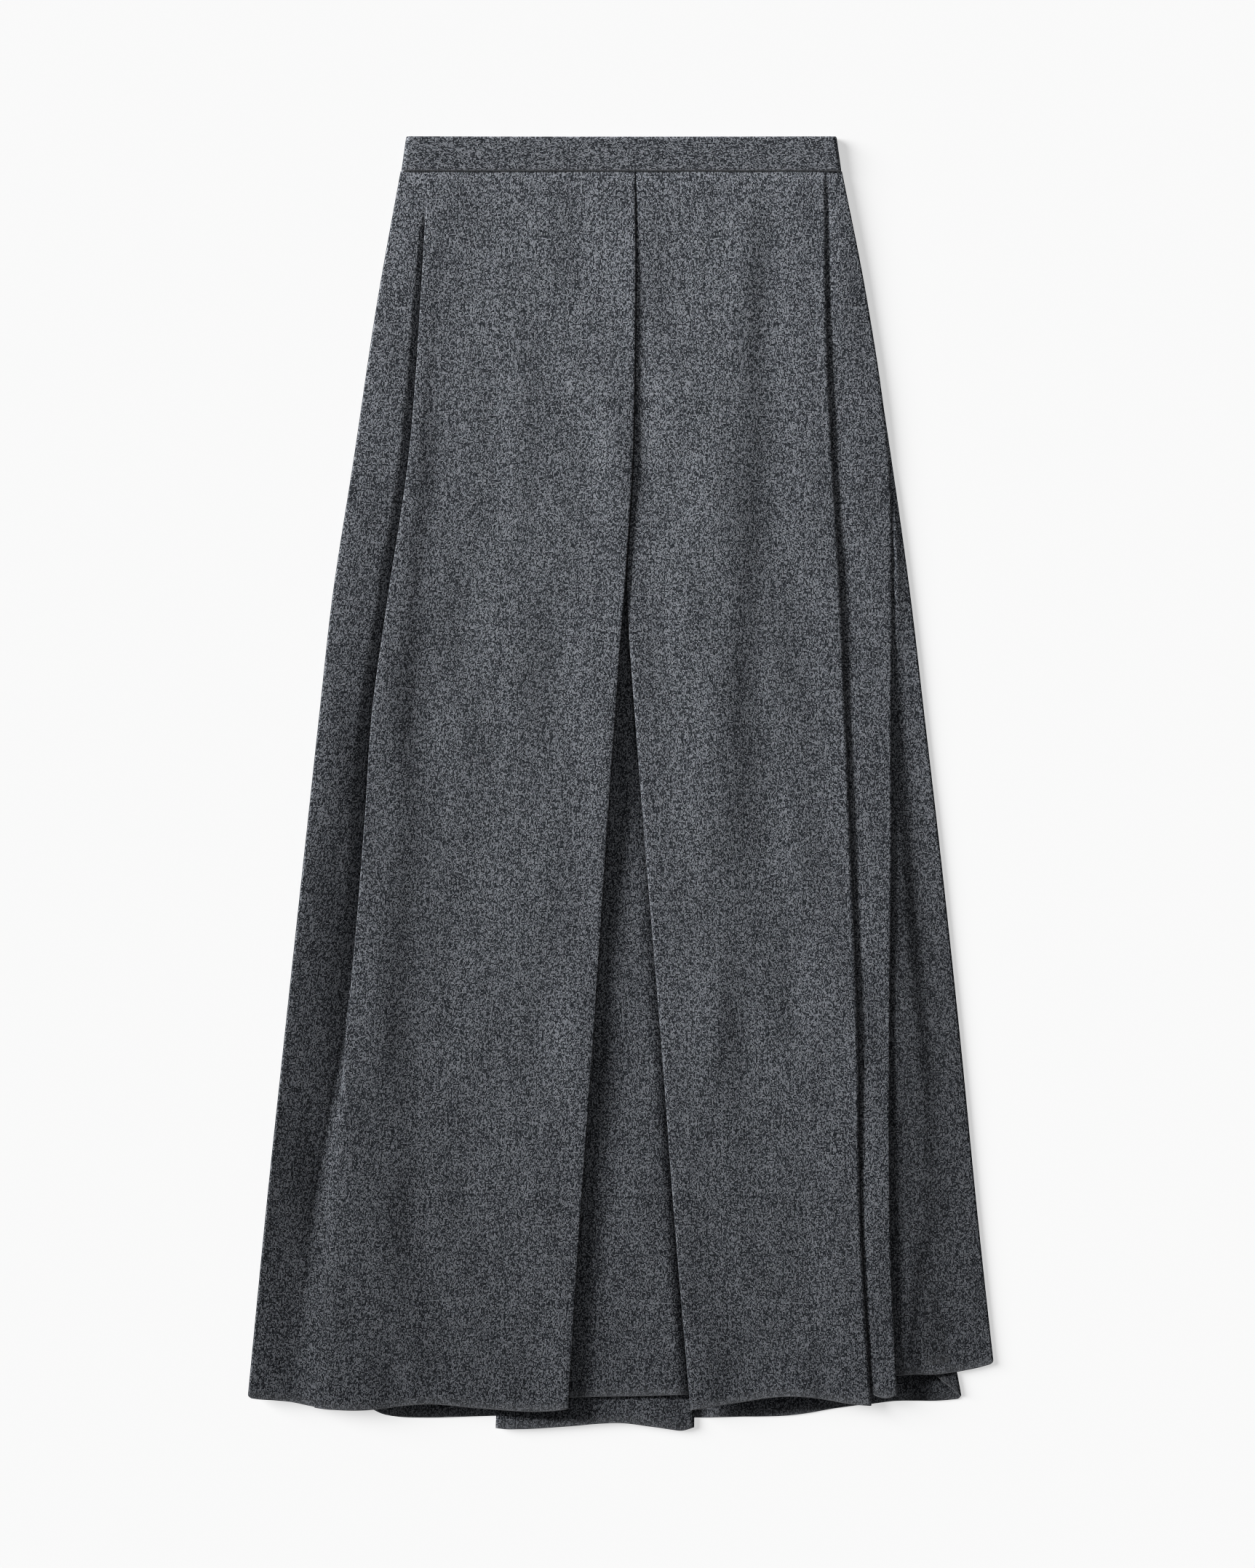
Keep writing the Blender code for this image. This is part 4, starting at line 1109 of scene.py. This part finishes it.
# a pale floor that glows a little of itself
def makeFloor():
    s, z = stageSizes["floor"] / 2, -stageSizes["drop"]
    mesh = bpy.data.meshes.new("floor")
    mesh.from_pydata([(-s, -s, z), (s, -s, z), (s, s, z), (-s, s, z)], [], [(0, 1, 2, 3)])
    made = bpy.data.objects.new("floor", mesh)
    bpy.context.scene.collection.objects.link(made)
    material = bpy.data.materials.new("paleFloor")
    material.use_nodes = True
    fill(material.node_tree, material.node_tree.nodes["Principled BSDF"], {
        "Base Color": (stageSizes["shade"],) * 3 + (1,), "Roughness": 1.0, "Specular IOR Level": 0.0,
        "Emission Color": (1, 1, 1, 1), "Emission Strength": stageSizes["glow"]})
    made.data.materials.append(material)
    return made


floor = makeFloor()

# the raking lights leave the floor to a sun of its own, which keeps it even
lights = [
    {"name": "keyFromTheLeft", "kind": "AREA", "towards": (157, 13.5), "distance": 8.0, "size": 2.2,
     "aim": (0.1, 0.5, 0.0), "spread": 16.0, "power": 35.0, "onFloor": False},
    {"name": "fillAboveTheWaist", "kind": "AREA", "towards": (80, 60), "distance": 1.1, "size": 0.8,
     "aim": (0.05, 0.55, 0.0), "spread": 180.0, "power": 2.2, "onFloor": False},
    {"name": "floorSun", "kind": "SUN", "towards": (160, 24), "distance": 8.0, "size": 34.0,
     "aim": (0.0, 0.0, 0.0), "power": 6.5, "onFloor": True},
]


# a soft light, placed from its aim by azimuth (0 is +X, 90 is +Y) and elevation, in degrees.
# A lamp lights either the floor or all that lies on it.
def softLight(row):
    azimuth, elevation = np.radians(row["towards"])
    level = np.cos(elevation)
    towards = Vector((level * np.cos(azimuth), level * np.sin(azimuth), np.sin(elevation)))
    data = bpy.data.lights.new(row["name"], row["kind"])
    data.energy = row["power"]
    if row["kind"] == "SUN":
        data.angle = np.radians(row["size"])
    else:
        data.shape = "DISK"
        data.size, data.spread = row["size"], np.radians(row["spread"])
    light = bpy.data.objects.new(row["name"], data)
    light.location = Vector(row["aim"]) + towards * row["distance"]
    light.rotation_euler = (-towards).to_track_quat("-Z", "Y").to_euler()
    bpy.context.scene.collection.objects.link(light)
    receivers = bpy.data.collections.new(row["name"] + "Receivers")
    receivers.objects.link(floor)
    light.light_linking.receiver_collection = receivers
    receivers.collection_objects[0].light_linking.link_state = "INCLUDE" if row["onFloor"] else "EXCLUDE"


for row in lights:
    softLight(row)

scene = bpy.context.scene
world = bpy.data.worlds.new("studio")
world.use_nodes = True
air = world.node_tree
fill(air, air.nodes["Background"], {"Color": (1, 1, 1, 1), "Strength": stageSizes["sky"]})
# the camera itself sees white beyond the floor
backdrop = newNode(air, "Background", {"Color": (1, 1, 1, 1), "Strength": stageSizes["backdrop"]})
seen = newNode(air, "LightPath", {})
either = newNode(air, "MixShader", {"Fac": seen.outputs["Is Camera Ray"],
                                    1: air.nodes["Background"].outputs["Background"],
                                    2: backdrop.outputs["Background"]})
fill(air, air.nodes["World Output"], {"Surface": either.outputs["Shader"]})
scene.world = world
scene.view_settings.view_transform = "Standard"
scene.cycles.pixel_filter_type = "BOX"      # the cloth's strokes stay crisp
scene.cycles.filter_width = 1.0

shot = {"lens": 85.0, "sensor": 36.0, "frameHeight": 1.2505, "aim": (0.0055, -0.0003), "clothHeight": 0.003}
camera = bpy.data.cameras.new("camera")
camera.lens, camera.sensor_width = shot["lens"], shot["sensor"]
cameraObject = bpy.data.objects.new("camera", camera)
distance = shot["frameHeight"] * shot["lens"] / shot["sensor"]
cameraObject.location = (*shot["aim"], distance + shot["clothHeight"])
scene.collection.objects.link(cameraObject)
scene.camera = cameraObject
print("stage set")
